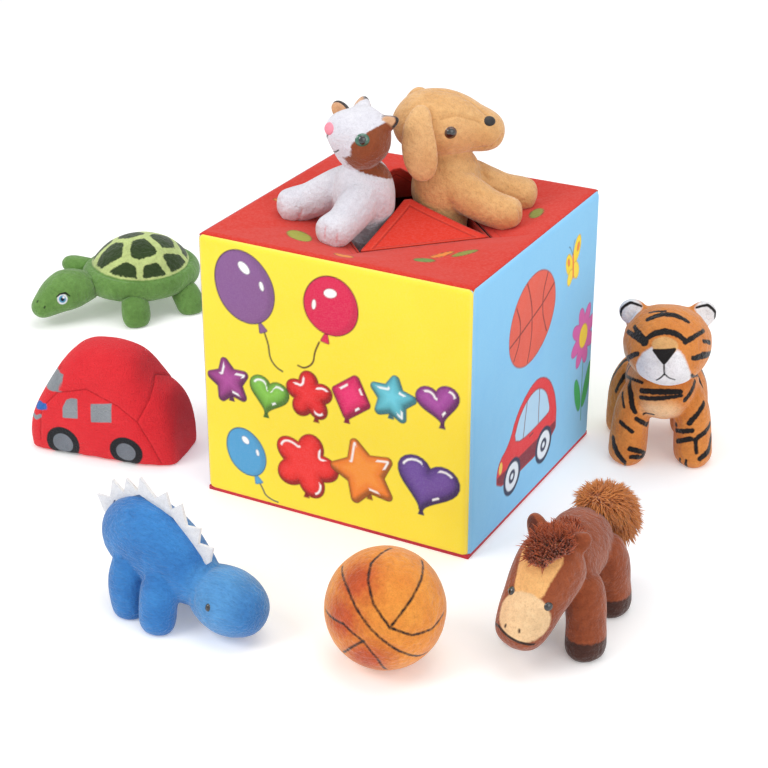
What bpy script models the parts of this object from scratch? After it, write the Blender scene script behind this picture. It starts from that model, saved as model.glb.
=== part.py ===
# Surprise box: a soft fabric box with a slit top, and eight plush toys that go in it.
# Metres, +Z up. Origin: centre of the box's underside. The yellow front faces -Y.

import math

import bmesh
import bpy
from mathutils import Matrix, Vector

# Box
BOX_WIDTH = 0.200
BOX_DEPTH = 0.200
BOX_HEIGHT = 0.190
COVER_THICKNESS = 0.002
COVER_ROUNDING = 0.0012
FOAM_THICKNESS = 0.010
LINING_THICKNESS = 0.0012
TOP_SAG = 0.008
FIT_GAP = 0.0003

# Slit top: two crossed slits make four triangular flaps
SLIT_REACH = 0.065
FLAP_THICKNESS = 0.0018
FLAP_HINGE_GAP = 0.0005
SLIT_GAP = 0.0008
FLAP_CORNER_TRIM = 0.004
TOY_CLEARANCE = 0.0008
NEAR_FLAP_LIFT = math.radians(20)
FAR_FLAP_LIFT = math.radians(45)
PRESSED_FLAP_LIFT = math.radians(-92)

# Plush toys: each one's height, and the size that its table of shares follows
CAT_HEIGHT = 0.100
DOG_HEIGHT = 0.100
TIGER_HEIGHT = 0.116
HORSE_HEIGHT = 0.080
DINOSAUR_HEIGHT = 0.078
TURTLE_HEIGHT = 0.062
CAR_LENGTH = 0.110
CAR_WIDTH = 0.060
CAR_HEIGHT = 0.080
BALL_RADIUS = 0.036
FLOOR_FLAT = 0.0005
CREST_THICKNESS = 0.002
CREST_HEIGHT = 0.013
CREST_SPIKES = 8

# Where the loose toys stand round the box: x, y and the way they face
TIGER_PLACE = (0.1495, 0.1095, math.radians(-66))
HORSE_PLACE = (0.184, -0.136, math.radians(-85))
DINOSAUR_PLACE = (-0.039, -0.237, math.radians(-9))
TURTLE_PLACE = (-0.3230, 0.1455, math.radians(236))
CAR_PLACE = (-0.1950, -0.0725, math.radians(190))
BALL_PLACE = (0.1045, -0.2225, 0.0)
CAT_HEADING = math.radians(228)
DOG_HEADING = math.radians(28)

# Squeeze sound units in the cat and the dog
SOUND_CASE_RADIUS = 0.0092
SOUND_CASE_LENGTH = 0.015
SOUND_WALL = 0.002
SOUND_BUTTON_RADIUS = 0.006
SOUND_BUTTON_HEIGHT = 0.0035
SOUND_BUTTON_TRAVEL = 0.0012
SOUND_HEIGHT_SHARE = -0.13
SOUND_BACK_SHARE = 0.7

# How finely the stuffed forms are faceted
BODY_SIDES = 12
LIMB_SIDES = 10
BALL_SIDES = 16
BALL_RINGS = 9
TOP_SPOKES = 32


def clear_scene():
    for found in list(bpy.data.objects):
        bpy.data.objects.remove(found, do_unlink=True)


def material(name, color, roughness=0.85, metallic=0.0):
    made = bpy.data.materials.new(name)
    made.use_nodes = True
    shader = made.node_tree.nodes["Principled BSDF"]
    shader.inputs["Base Color"].default_value = (*color, 1.0)
    shader.inputs["Roughness"].default_value = roughness
    shader.inputs["Metallic"].default_value = metallic
    return made


def add_object(name, bm, finish, parent=None, smooth=True):
    bmesh.ops.recalc_face_normals(bm, faces=bm.faces)
    mesh = bpy.data.meshes.new(name)
    bm.to_mesh(mesh)
    bm.free()
    made = bpy.data.objects.new(name, mesh)
    bpy.context.scene.collection.objects.link(made)
    made.parent = parent
    mesh.materials.append(finish)
    if smooth:
        mesh.shade_smooth()
        mesh.set_sharp_from_angle(angle=math.radians(40))
    return made


def hide_cutter(cutter):
    cutter.hide_render = True
    cutter.display_type = "WIRE"


def combine(target, other, operation):
    step = target.modifiers.new(operation.lower() + "_" + other.name, "BOOLEAN")
    step.operation = operation
    step.solver = "EXACT"
    step.object = other


def stand(name, x, y, z, heading):
    place = bpy.data.objects.new(name, None)
    bpy.context.scene.collection.objects.link(place)
    place.location = (x, y, z)
    place.rotation_euler = (0, 0, heading)
    return place


# Shapes

def block(low, high):
    bm = bmesh.new()
    bmesh.ops.create_cube(bm, size=1.0)
    for vert in bm.verts:
        for i in range(3):
            vert.co[i] = low[i] if vert.co[i] < 0 else high[i]
    return bm


def prism(outline, low, high, axis="Z"):
    """Extrude a flat outline between two heights along Z, or between two places along Y."""
    bm = bmesh.new()
    rings = []
    for level in (low, high):
        if axis == "Z":
            rings.append([bm.verts.new((a, b, level)) for a, b in outline])
        else:
            rings.append([bm.verts.new((a, level, b)) for a, b in outline])
    bm.faces.new(rings[0])
    bm.faces.new(rings[1])
    bridge(bm, rings[0], rings[1])
    return bm


def bridge(bm, ring, following):
    count = max(len(ring), len(following))
    for i in range(count):
        a = ring[i % len(ring)]
        b = ring[(i + 1) % count % len(ring)]
        c = following[(i + 1) % count % len(following)]
        d = following[i % len(following)]
        corners = []
        for corner in (a, b, c, d):
            if corner not in corners:
                corners.append(corner)
        bm.faces.new(corners)


def stuffed_skin(rows, sides):
    """A stuffed form: oval rings across a bent spine. Each row is x, y, z, half width, half depth.
    A row with no width is a rounded end, and an end row with width is a flat one."""
    points = [Vector(row[:3]) for row in rows]
    bm = bmesh.new()
    rings = []
    last = len(rows) - 1
    for i, row in enumerate(rows):
        if row[3] == 0:
            rings.append([bm.verts.new(points[i])])
            continue
        tangent = (points[min(i + 1, last)] - points[max(i - 1, 0)]).normalized()
        side = Vector((0, 1, 0)) - tangent * tangent.y
        side.normalize()
        depth = side.cross(tangent)
        ring = []
        for k in range(sides):
            angle = 2 * math.pi * (k + 0.5) / sides
            across = side * math.cos(angle) * row[3]
            ring.append(bm.verts.new(points[i] + across + depth * math.sin(angle) * row[4]))
        rings.append(ring)
    for ring, following in zip(rings, rings[1:]):
        bridge(bm, ring, following)
    for ring in (rings[0], rings[-1]):
        if len(ring) > 1:
            bm.faces.new(ring)
    bmesh.ops.triangulate(bm, faces=bm.faces, quad_method="FIXED")
    return bm


def grow(bm, gap):
    """Move every face of a closed form out by at least the gap."""
    bmesh.ops.recalc_face_normals(bm, faces=bm.faces)
    bm.normal_update()
    moves = []
    for vert in bm.verts:
        least = min(vert.normal.dot(face.normal) for face in vert.link_faces)
        moves.append((vert, vert.normal * gap / max(least, 0.35)))
    for vert, move in moves:
        vert.co += move
    return bm


def scaled(shares, size, side=1):
    """Rows in metres from rows of shares of one size. side=-1 mirrors them across the toy."""
    rows = [tuple(value * size for value in row) for row in shares]
    return [(x, y * side, z, width, depth) for x, y, z, width, depth in rows]


def stuffed(name, rows, finish, place, sides=BODY_SIDES):
    return add_object(name, stuffed_skin(rows, sides), finish, place)


def stuffed_cutter(name, rows, finish, place, sides=BODY_SIDES):
    """The same form, larger by the fitting gap, that cuts what is sewn against it."""
    cutter = add_object(name, grow(stuffed_skin(rows, sides), FIT_GAP), finish, place)
    hide_cutter(cutter)
    return cutter


def legs(toy, shares, size, finish, place, cutters, which):
    """A left and a right leg from one table, each cut by the forms it is sewn to."""
    for side, word in ((1, "left"), (-1, "right")):
        leg = stuffed(f"{toy}_{which}_leg_{word}", scaled(shares, size, side), finish, place, LIMB_SIDES)
        for cutter in cutters:
            combine(leg, cutter, "DIFFERENCE")


# Box

def wall_section(half_length, half_across, thickness, gap):
    """A wall's outline seen from above, mitred at both ends, for a wall that faces -Y."""
    outer = half_length - gap
    inner = half_length - thickness - gap
    return [(-outer, -half_across), (outer, -half_across), (inner, thickness - half_across),
            (-inner, thickness - half_across)]


def turned(outline, quarter_turns):
    for _ in range(quarter_turns):
        outline = [(-b, a) for a, b in outline]
    return outline


def rounded_edges(made, width):
    step = made.modifiers.new("soft_edges", "BEVEL")
    step.width = width
    step.segments = 1
    step.limit_method = "ANGLE"
    step.angle_limit = math.radians(50)


def box_walls():
    """Four printed cover panels, each with its foam board behind it."""
    finishes = {
        "front": material("yellow_fabric", (0.93, 0.78, 0.02)),
        "right": material("blue_fabric", (0.28, 0.62, 0.88)),
        "back": material("green_fabric", (0.10, 0.48, 0.14)),
        "left": material("purple_fabric", (0.20, 0.10, 0.34)),
    }
    foam = material("foam", (0.85, 0.84, 0.80), 0.95)
    low = COVER_THICKNESS + FIT_GAP
    high = BOX_HEIGHT - COVER_THICKNESS - FIT_GAP
    foam_low = low + FOAM_THICKNESS + FIT_GAP
    foam_high = BOX_HEIGHT - COVER_THICKNESS - TOP_SAG / 2
    for turns, side in enumerate(("front", "right", "back", "left")):
        along, across = (BOX_WIDTH, BOX_DEPTH) if turns % 2 == 0 else (BOX_DEPTH, BOX_WIDTH)
        cover = wall_section(along / 2, across / 2, COVER_THICKNESS, FIT_GAP / 2)
        panel = add_object(f"{side}_panel", prism(turned(cover, turns), low, high), finishes[side])
        rounded_edges(panel, COVER_ROUNDING / 2)
        inset = COVER_THICKNESS + FIT_GAP
        board = wall_section(along / 2 - inset, across / 2 - inset, FOAM_THICKNESS, FIT_GAP / 2)
        add_object(f"{side}_foam", prism(turned(board, turns), foam_low, foam_high), foam, smooth=False)


def box_base():
    """The flat base cover that the box stands on, and its foam board."""
    half_x, half_y = BOX_WIDTH / 2, BOX_DEPTH / 2
    cover = block((-half_x, -half_y, 0), (half_x, half_y, COVER_THICKNESS))
    panel = add_object("base_panel", cover, material("base_fabric", (0.75, 0.10, 0.16)))
    rounded_edges(panel, COVER_ROUNDING / 2)
    inset = COVER_THICKNESS + FIT_GAP
    low = COVER_THICKNESS + FIT_GAP
    board = block((inset - half_x, inset - half_y, low),
                  (half_x - inset, half_y - inset, low + FOAM_THICKNESS))
    add_object("base_foam", board, material("base_foam", (0.85, 0.84, 0.80), 0.95), smooth=False)


def box_lining():
    """A thin sewn lining, open at the top, against the foam boards."""
    inset = COVER_THICKNESS + FOAM_THICKNESS + 3 * FIT_GAP
    half_x, half_y = BOX_WIDTH / 2 - inset, BOX_DEPTH / 2 - inset
    low = COVER_THICKNESS + FOAM_THICKNESS + 3 * FIT_GAP
    high = BOX_HEIGHT - COVER_THICKNESS - TOP_SAG / 2
    wall = LINING_THICKNESS
    bm = bmesh.new()
    loops = []
    for x, y, z in ((half_x, half_y, low), (half_x, half_y, high), (half_x - wall, half_y - wall, high),
                    (half_x - wall, half_y - wall, low + wall)):
        loops.append([bm.verts.new((sx * x, sy * y, z)) for sx, sy in ((-1, -1), (1, -1), (1, 1), (-1, 1))])
    for loop, following in zip(loops, loops[1:]):
        bridge(bm, loop, following)
    bm.faces.new(loops[0])
    bm.faces.new(loops[-1])
    add_object("lining", bm, material("lining_fabric", (0.55, 0.08, 0.07)), smooth=False)


def top_height(share):
    """Height of the top cover's upper face, from the opening's edge, 0, to the box's rim, 1."""
    return BOX_HEIGHT - TOP_SAG * (1 - share) ** 1.3


def top_place(angle, share):
    """A point between the diamond opening and the square rim, in the direction of angle."""
    cosine, sine = abs(math.cos(angle)), abs(math.sin(angle))
    opening = SLIT_REACH / (cosine + sine)
    rim = min(BOX_WIDTH / 2 / max(cosine, 1e-6), BOX_DEPTH / 2 / max(sine, 1e-6))
    reach = opening + (rim - opening) * share
    return reach * math.cos(angle), reach * math.sin(angle)


def top_skin(lift, floor, edge):
    """The sagging top cover. lift raises its upper face, and floor, if given, is its flat underside."""
    shares = (edge, 0.3, 0.62, 1.0)
    bm = bmesh.new()
    loops = []

    def loop(share, height):
        corners = []
        for k in range(TOP_SPOKES):
            angle = 2 * math.pi * k / TOP_SPOKES
            corners.append(bm.verts.new((*top_place(angle, share), height)))
        loops.append(corners)

    middle = top_height(0) - COVER_THICKNESS / 2
    if edge:
        loop(0, middle)
    for share in shares:
        loop(share, top_height(share) + lift)
    for share in reversed(shares):
        loop(share, top_height(share) - COVER_THICKNESS if floor is None else floor)
    for ring, following in zip(loops, loops[1:]):
        bridge(bm, ring, following)
    bridge(bm, loops[-1], loops[0])
    return bm


def top_panel():
    """The red top with its diamond opening, and the cutter that seats the animals' paws on it."""
    finish = material("red_fabric", (0.75, 0.06, 0.03))
    edge_share = COVER_THICKNESS / 2 / (BOX_WIDTH / 2 - SLIT_REACH)
    add_object("top_panel", top_skin(0, None, edge_share), finish)
    seat = add_object("top_seat", top_skin(FIT_GAP, BOX_HEIGHT / 2, 0), finish)
    hide_cutter(seat)
    return seat


def flap_axis_reach():
    """How far the flaps' hinge axes lie from the box's centre line."""
    return SLIT_REACH / math.sqrt(2) - FLAP_HINGE_GAP - FLAP_THICKNESS / 2


def flap(name, direction, lift, finish):
    """A triangular flap. Its origin is on its hinge axis, and its tip points to the box's centre."""
    half = FLAP_THICKNESS / 2
    reach = flap_axis_reach()
    widest = SLIT_REACH / math.sqrt(2) - FLAP_CORNER_TRIM
    slant = reach - SLIT_GAP * math.sqrt(2)
    corner = slant - widest
    rows = [(-half, 0.35), (-half * 0.7, 0.75), (0, 1.0), (corner, 1.0), (slant * 0.55, 1.0),
            (slant * 0.93, 1.0)]
    bm = bmesh.new()
    loops = []
    for along, fullness in rows:
        wide = min(widest, slant - along)
        thick = half * fullness
        loops.append([bm.verts.new(corner_at) for corner_at in
                      ((-wide, along, -thick), (wide, along, -thick),
                       (wide, along, thick), (-wide, along, thick))])
    for ring, following in zip(loops, loops[1:]):
        bridge(bm, ring, following)
    bm.faces.new(loops[0])
    bm.faces.new(loops[-1])
    made = add_object(name, bm, finish, smooth=False)
    height = top_height(0) - COVER_THICKNESS / 2
    made.location = (reach * math.cos(direction), reach * math.sin(direction), height)
    facing = Matrix.Rotation(direction + math.pi / 2, 4, "Z")
    tilt = Matrix.Rotation(lift, 4, "X")
    made.rotation_euler = (facing @ tilt).to_euler()
    return made


def flaps():
    finish = material("flap_fabric", (0.82, 0.11, 0.04))
    flap("near_flap", math.radians(-45), NEAR_FLAP_LIFT, finish)
    flap("far_flap", math.radians(135), FAR_FLAP_LIFT, finish)
    flap("cat_flap", math.radians(-135), PRESSED_FLAP_LIFT, finish)
    flap("dog_flap", math.radians(45), PRESSED_FLAP_LIFT, finish)


# Animals in the slit top

def nest_offset():
    """How far the cat and the dog stand from the box's centre, along x and along y."""
    return SLIT_REACH * (1 - 1 / math.sqrt(2)) - FLAP_HINGE_GAP


def throat_radius():
    """The girth that passes between the slits and a flap that is pressed down."""
    to_edge = (SLIT_REACH - 2 * nest_offset()) / math.sqrt(2)
    return to_edge - FLAP_HINGE_GAP - FLAP_THICKNESS - TOY_CLEARANCE


def sitting_body(shares, size):
    """A body whose haunches fill the slit top's throat. Shares under 0 mark that girth."""
    throat = throat_radius()
    rows = []
    for x, y, z, width, depth in shares:
        rows.append((x * size, y * size, z * size,
                     -width * throat if width < 0 else width * size,
                     -depth * throat if depth < 0 else depth * size))
    return rows


HAUNCH_SHARES = (
    (0.00, 0.0, -0.345, 0.00, 0.00),
    (0.00, 0.0, -0.325, -0.62, -0.62),
    (0.00, 0.0, -0.240, -0.96, -0.96),
    (0.00, 0.0, -0.060, -1.00, -1.00),
    (0.00, 0.0, 0.030, -1.00, -1.00),
)
HIND_LEG_SHARES = (
    (0.00, 0.030, -0.21, 0.000, 0.000),
    (0.00, 0.040, -0.25, 0.060, 0.060),
    (0.02, 0.055, -0.38, 0.072, 0.075),
    (0.03, 0.075, -0.50, 0.068, 0.078),
    (0.04, 0.080, -0.575, 0.050, 0.062),
    (0.04, 0.080, -0.600, 0.000, 0.000),
)

CAT_BODY_SHARES = HAUNCH_SHARES + (
    (0.02, 0.02, 0.150, 0.205, 0.205),
    (0.03, 0.03, 0.300, 0.205, 0.200),
    (0.04, 0.05, 0.430, 0.150, 0.145),
    (0.04, 0.05, 0.500, 0.000, 0.000),
)
CAT_HEAD_SHARES = (
    (-0.099, 0.030, 0.535, 0.00, 0.00),
    (-0.082, 0.034, 0.545, 0.11, 0.10),
    (-0.005, 0.050, 0.590, 0.205, 0.19),
    (0.080, 0.068, 0.640, 0.22, 0.21),
    (0.157, 0.084, 0.685, 0.17, 0.155),
    (0.216, 0.097, 0.720, 0.12, 0.11),
    (0.259, 0.106, 0.745, 0.075, 0.07),
    (0.276, 0.110, 0.755, 0.00, 0.00),
)
CAT_LEFT_EAR_SHARES = (
    (0.000, 0.110, 0.690, 0.00, 0.00),
    (-0.015, 0.125, 0.700, 0.075, 0.055),
    (-0.070, 0.175, 0.735, 0.070, 0.045),
    (-0.120, 0.210, 0.765, 0.035, 0.022),
    (-0.145, 0.225, 0.780, 0.00, 0.00),
)
CAT_RIGHT_EAR_SHARES = (
    (0.030, -0.020, 0.700, 0.00, 0.00),
    (0.022, -0.040, 0.720, 0.075, 0.055),
    (-0.005, -0.105, 0.765, 0.070, 0.045),
    (-0.035, -0.160, 0.800, 0.035, 0.022),
    (-0.050, -0.185, 0.815, 0.00, 0.00),
)
CAT_RIGHT_LEG_SHARES = (
    (0.040, -0.080, 0.290, 0.000, 0.000),
    (0.080, -0.100, 0.280, 0.096, 0.120),
    (0.200, -0.140, 0.210, 0.114, 0.132),
    (0.330, -0.190, 0.140, 0.108, 0.114),
    (0.430, -0.220, 0.115, 0.126, 0.114),
    (0.510, -0.240, 0.105, 0.102, 0.096),
    (0.540, -0.250, 0.100, 0.000, 0.000),
)
CAT_LEFT_LEG_SHARES = (
    (0.020, 0.120, 0.290, 0.000, 0.000),
    (0.050, 0.140, 0.280, 0.096, 0.120),
    (0.140, 0.190, 0.200, 0.114, 0.132),
    (0.240, 0.250, 0.130, 0.108, 0.114),
    (0.320, 0.290, 0.110, 0.126, 0.114),
    (0.390, 0.320, 0.100, 0.102, 0.096),
    (0.420, 0.335, 0.095, 0.000, 0.000),
)

DOG_BODY_SHARES = HAUNCH_SHARES + (
    (0.02, 0.02, 0.150, 0.220, 0.235),
    (0.04, 0.04, 0.300, 0.220, 0.230),
    (0.05, 0.06, 0.430, 0.165, 0.165),
    (0.05, 0.06, 0.500, 0.000, 0.000),
)
DOG_HEAD_SHARES = (
    (-0.330, 0.060, 0.600, 0.000, 0.000),
    (-0.300, 0.060, 0.600, 0.115, 0.106),
    (-0.180, 0.060, 0.630, 0.216, 0.211),
    (-0.030, 0.060, 0.635, 0.235, 0.230),
    (0.100, 0.060, 0.625, 0.211, 0.202),
    (0.220, 0.060, 0.595, 0.163, 0.149),
    (0.320, 0.060, 0.570, 0.144, 0.125),
    (0.380, 0.060, 0.560, 0.096, 0.082),
    (0.405, 0.060, 0.555, 0.000, 0.000),
)
DOG_EAR_SHARES = (
    (-0.130, 0.170, 0.810, 0.000, 0.000),
    (-0.140, 0.190, 0.790, 0.035, 0.055),
    (-0.170, 0.245, 0.690, 0.045, 0.100),
    (-0.160, 0.275, 0.550, 0.045, 0.120),
    (-0.140, 0.280, 0.430, 0.040, 0.110),
    (-0.120, 0.275, 0.345, 0.025, 0.065),
    (-0.110, 0.275, 0.325, 0.000, 0.000),
)
DOG_RIGHT_LEG_SHARES = (
    (0.03, -0.08, 0.27, 0.00, 0.00),
    (0.07, -0.10, 0.26, 0.095, 0.120),
    (0.19, -0.15, 0.19, 0.115, 0.130),
    (0.31, -0.20, 0.13, 0.110, 0.115),
    (0.41, -0.23, 0.110, 0.122, 0.110),
    (0.49, -0.24, 0.105, 0.098, 0.092),
    (0.52, -0.25, 0.100, 0.00, 0.00),
)
DOG_LEFT_LEG_SHARES = (
    (0.06, 0.12, 0.28, 0.00, 0.00),
    (0.10, 0.12, 0.27, 0.095, 0.120),
    (0.25, 0.11, 0.20, 0.115, 0.130),
    (0.41, 0.10, 0.14, 0.110, 0.115),
    (0.53, 0.10, 0.125, 0.122, 0.110),
    (0.61, 0.10, 0.115, 0.098, 0.092),
    (0.64, 0.10, 0.110, 0.00, 0.00),
)


def sound_unit(animal, body, place, size):
    """A squeeze sound unit in a pocket that opens at the back of the haunches."""
    height = SOUND_HEIGHT_SHARE * size
    case_finish = material(f"{animal}_sound_case", (0.85, 0.85, 0.85), 0.4)
    button_finish = material(f"{animal}_sound_button", (0.10, 0.10, 0.12), 0.4)
    back = -SOUND_CASE_LENGTH * SOUND_BACK_SHARE
    front = back + SOUND_CASE_LENGTH

    def turned_rod(name, radius, start, end, finish):
        rows = [(start, 0, height, radius, radius), (end, 0, height, radius, radius)]
        return add_object(name, stuffed_skin(rows, BALL_SIDES), finish, place)

    pocket = turned_rod(f"{animal}_pocket", SOUND_CASE_RADIUS + FIT_GAP, -2 * throat_radius(),
                        front + FIT_GAP, case_finish)
    hide_cutter(pocket)
    combine(body, pocket, "DIFFERENCE")
    case = turned_rod(f"{animal}_sound_case", SOUND_CASE_RADIUS, back, front, case_finish)
    well_floor = back + SOUND_BUTTON_HEIGHT
    well = turned_rod(f"{animal}_well", SOUND_BUTTON_RADIUS + FIT_GAP, back - SOUND_WALL, well_floor,
                      case_finish)
    hide_cutter(well)
    combine(case, well, "DIFFERENCE")
    button_end = well_floor - SOUND_BUTTON_TRAVEL - FIT_GAP
    turned_rod(f"{animal}_sound_button", SOUND_BUTTON_RADIUS, button_end - SOUND_BUTTON_HEIGHT,
               button_end, button_finish)


def sitting_animal(animal, size, heading, corner, body_shares, head_shares, leg_tables, seat, finish):
    """The parts that the cat and the dog share: body, head, front legs, hind legs and sound unit."""
    offset = corner * nest_offset()
    place = stand(f"{animal}_place", offset, offset, top_height(0), heading)
    body_rows = sitting_body(body_shares, size)
    head_rows = scaled(head_shares, size)
    body = stuffed(f"{animal}_body", body_rows, finish, place)
    combine(body, seat, "DIFFERENCE")
    body_cutter = stuffed_cutter(f"{animal}_body_cutter", body_rows, finish, place)
    head = stuffed(f"{animal}_head", head_rows, finish, place)
    combine(head, body_cutter, "DIFFERENCE")
    head_cutter = stuffed_cutter(f"{animal}_head_cutter", head_rows, finish, place)
    for word, table in leg_tables.items():
        leg = stuffed(f"{animal}_front_leg_{word}", scaled(table, size), finish, place, LIMB_SIDES)
        for cutter in (seat, body_cutter, head_cutter):
            combine(leg, cutter, "DIFFERENCE")
    hind = stuffed(f"{animal}_hind_legs", scaled(HIND_LEG_SHARES, size), finish, place, LIMB_SIDES)
    other = stuffed(f"{animal}_hind_leg_other", scaled(HIND_LEG_SHARES, size, -1), finish, place, LIMB_SIDES)
    hide_cutter(other)
    combine(hind, other, "UNION")
    combine(hind, body_cutter, "DIFFERENCE")
    sound_unit(animal, body, place, size)
    return place, head, body_cutter, head_cutter


def make_cat(seat):
    finish = material("white_plush", (0.86, 0.85, 0.87))
    tables = {"left": CAT_LEFT_LEG_SHARES, "right": CAT_RIGHT_LEG_SHARES}
    place, head, _, _ = sitting_animal("cat", CAT_HEIGHT, CAT_HEADING, -1, CAT_BODY_SHARES,
                                       CAT_HEAD_SHARES, tables, seat, finish)
    for word, table in (("left", CAT_LEFT_EAR_SHARES), ("right", CAT_RIGHT_EAR_SHARES)):
        ear = stuffed(f"cat_ear_{word}", scaled(table, CAT_HEIGHT), finish, place, LIMB_SIDES)
        hide_cutter(ear)
        combine(head, ear, "UNION")


def make_dog(seat):
    finish = material("golden_plush", (0.80, 0.47, 0.20))
    tables = {"left": DOG_LEFT_LEG_SHARES, "right": DOG_RIGHT_LEG_SHARES}
    place, _, body_cutter, head_cutter = sitting_animal("dog", DOG_HEIGHT, DOG_HEADING, 1,
                                                        DOG_BODY_SHARES, DOG_HEAD_SHARES, tables,
                                                        seat, finish)
    middle = DOG_HEAD_SHARES[0][1] * DOG_HEIGHT
    for side, word in ((1, "left"), (-1, "right")):
        ear = stuffed(f"dog_ear_{word}", scaled(DOG_EAR_SHARES, DOG_HEIGHT, side), finish, place, LIMB_SIDES)
        ear.location = (0, middle, 0)
        combine(ear, head_cutter, "DIFFERENCE")
        combine(ear, body_cutter, "DIFFERENCE")


# Toys that stand round the box

TIGER_BODY_SHARES = (
    (-0.36, 0, 0.40, 0.00, 0.00),
    (-0.34, 0, 0.40, 0.10, 0.10),
    (-0.25, 0, 0.41, 0.20, 0.18),
    (-0.08, 0, 0.42, 0.22, 0.19),
    (0.08, 0, 0.44, 0.22, 0.20),
    (0.19, 0, 0.47, 0.20, 0.19),
    (0.27, 0, 0.50, 0.12, 0.12),
    (0.29, 0, 0.51, 0.00, 0.00),
)
TIGER_HEAD_SHARES = (
    (-0.06, 0, 0.77, 0.00, 0.00),
    (-0.04, 0, 0.77, 0.13, 0.11),
    (0.04, 0, 0.77, 0.23, 0.20),
    (0.15, 0, 0.765, 0.27, 0.235),
    (0.26, 0, 0.74, 0.25, 0.21),
    (0.35, 0, 0.70, 0.19, 0.15),
    (0.41, 0, 0.68, 0.13, 0.10),
    (0.44, 0, 0.67, 0.00, 0.00),
)
TIGER_EAR_SHARES = (
    (0.06, 0.15, 0.87, 0.00, 0.00),
    (0.06, 0.165, 0.88, 0.070, 0.030),
    (0.06, 0.220, 0.925, 0.080, 0.035),
    (0.06, 0.255, 0.955, 0.050, 0.025),
    (0.06, 0.270, 0.970, 0.00, 0.00),
)
TIGER_FRONT_LEG_SHARES = (
    (0.12, 0.15, 0.47, 0.00, 0.00),
    (0.12, 0.155, 0.45, 0.070, 0.080),
    (0.14, 0.175, 0.34, 0.105, 0.120),
    (0.16, 0.190, 0.20, 0.110, 0.120),
    (0.18, 0.195, 0.09, 0.115, 0.135),
    (0.20, 0.200, 0.035, 0.112, 0.145),
    (0.20, 0.200, 0.00, 0.085, 0.115),
)
TIGER_HIND_LEG_SHARES = (
    (-0.20, 0.14, 0.48, 0.00, 0.00),
    (-0.20, 0.150, 0.45, 0.080, 0.100),
    (-0.21, 0.175, 0.32, 0.125, 0.150),
    (-0.21, 0.190, 0.18, 0.120, 0.140),
    (-0.19, 0.200, 0.08, 0.115, 0.140),
    (-0.18, 0.200, 0.03, 0.110, 0.140),
    (-0.18, 0.200, 0.00, 0.085, 0.115),
)

HORSE_BODY_SHARES = (
    (-0.48, 0, 0.60, 0.00, 0.00),
    (-0.46, 0, 0.60, 0.12, 0.12),
    (-0.36, 0, 0.61, 0.23, 0.22),
    (-0.15, 0, 0.60, 0.26, 0.25),
    (0.08, 0, 0.59, 0.25, 0.25),
    (0.25, 0, 0.61, 0.23, 0.24),
    (0.36, 0, 0.63, 0.15, 0.16),
    (0.40, 0, 0.64, 0.00, 0.00),
)
HORSE_HEAD_SHARES = (
    (0.22, 0.010, 0.80, 0.00, 0.00),
    (0.25, 0.005, 0.80, 0.16, 0.14),
    (0.35, -0.010, 0.77, 0.26, 0.24),
    (0.47, -0.035, 0.68, 0.265, 0.25),
    (0.60, -0.085, 0.52, 0.225, 0.215),
    (0.71, -0.125, 0.37, 0.205, 0.185),
    (0.79, -0.155, 0.27, 0.155, 0.135),
    (0.82, -0.165, 0.23, 0.00, 0.00),
)
HORSE_FRONT_LEG_SHARES = (
    (0.24, 0.18, 0.62, 0.00, 0.00),
    (0.24, 0.19, 0.58, 0.120, 0.120),
    (0.28, 0.22, 0.42, 0.150, 0.160),
    (0.31, 0.24, 0.24, 0.140, 0.150),
    (0.33, 0.25, 0.12, 0.150, 0.170),
    (0.34, 0.25, 0.04, 0.145, 0.170),
    (0.34, 0.25, 0.00, 0.110, 0.130),
)
HORSE_HIND_LEG_SHARES = (
    (-0.26, 0.18, 0.62, 0.00, 0.00),
    (-0.27, 0.19, 0.58, 0.130, 0.140),
    (-0.30, 0.22, 0.42, 0.160, 0.180),
    (-0.31, 0.24, 0.24, 0.140, 0.160),
    (-0.31, 0.25, 0.12, 0.150, 0.170),
    (-0.31, 0.25, 0.04, 0.145, 0.170),
    (-0.31, 0.25, 0.00, 0.110, 0.130),
)
HORSE_TAIL_SHARES = (
    (-0.34, 0.02, 0.70, 0.00, 0.00),
    (-0.37, 0.03, 0.74, 0.08, 0.07),
    (-0.46, 0.05, 0.81, 0.15, 0.12),
    (-0.60, 0.08, 0.77, 0.20, 0.16),
    (-0.70, 0.10, 0.64, 0.21, 0.17),
    (-0.75, 0.12, 0.46, 0.16, 0.14),
    (-0.76, 0.12, 0.34, 0.00, 0.00),
)
HORSE_EAR_SHARES = (
    (0.34, 0.08, 0.82, 0.00, 0.00),
    (0.33, 0.10, 0.84, 0.070, 0.050),
    (0.29, 0.18, 0.92, 0.080, 0.045),
    (0.26, 0.24, 0.97, 0.050, 0.030),
    (0.25, 0.26, 0.99, 0.00, 0.00),
)

DINOSAUR_BODY_SHARES = (
    (-0.59, 0, 0.49, 0.00, 0.00),
    (-0.56, 0, 0.50, 0.12, 0.15),
    (-0.45, 0, 0.54, 0.22, 0.28),
    (-0.24, 0, 0.59, 0.27, 0.37),
    (0.00, 0, 0.54, 0.27, 0.35),
    (0.20, 0, 0.44, 0.24, 0.27),
    (0.34, 0, 0.36, 0.20, 0.22),
    (0.43, 0, 0.32, 0.14, 0.15),
    (0.47, 0, 0.30, 0.00, 0.00),
)
DINOSAUR_HEAD_SHARES = (
    (0.29, 0.02, 0.32, 0.00, 0.00),
    (0.32, 0.02, 0.32, 0.14, 0.14),
    (0.42, 0.03, 0.31, 0.22, 0.22),
    (0.57, 0.03, 0.29, 0.26, 0.27),
    (0.73, 0.03, 0.27, 0.25, 0.25),
    (0.87, 0.03, 0.26, 0.18, 0.18),
    (0.92, 0.03, 0.255, 0.10, 0.10),
    (0.94, 0.03, 0.255, 0.00, 0.00),
)
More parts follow.
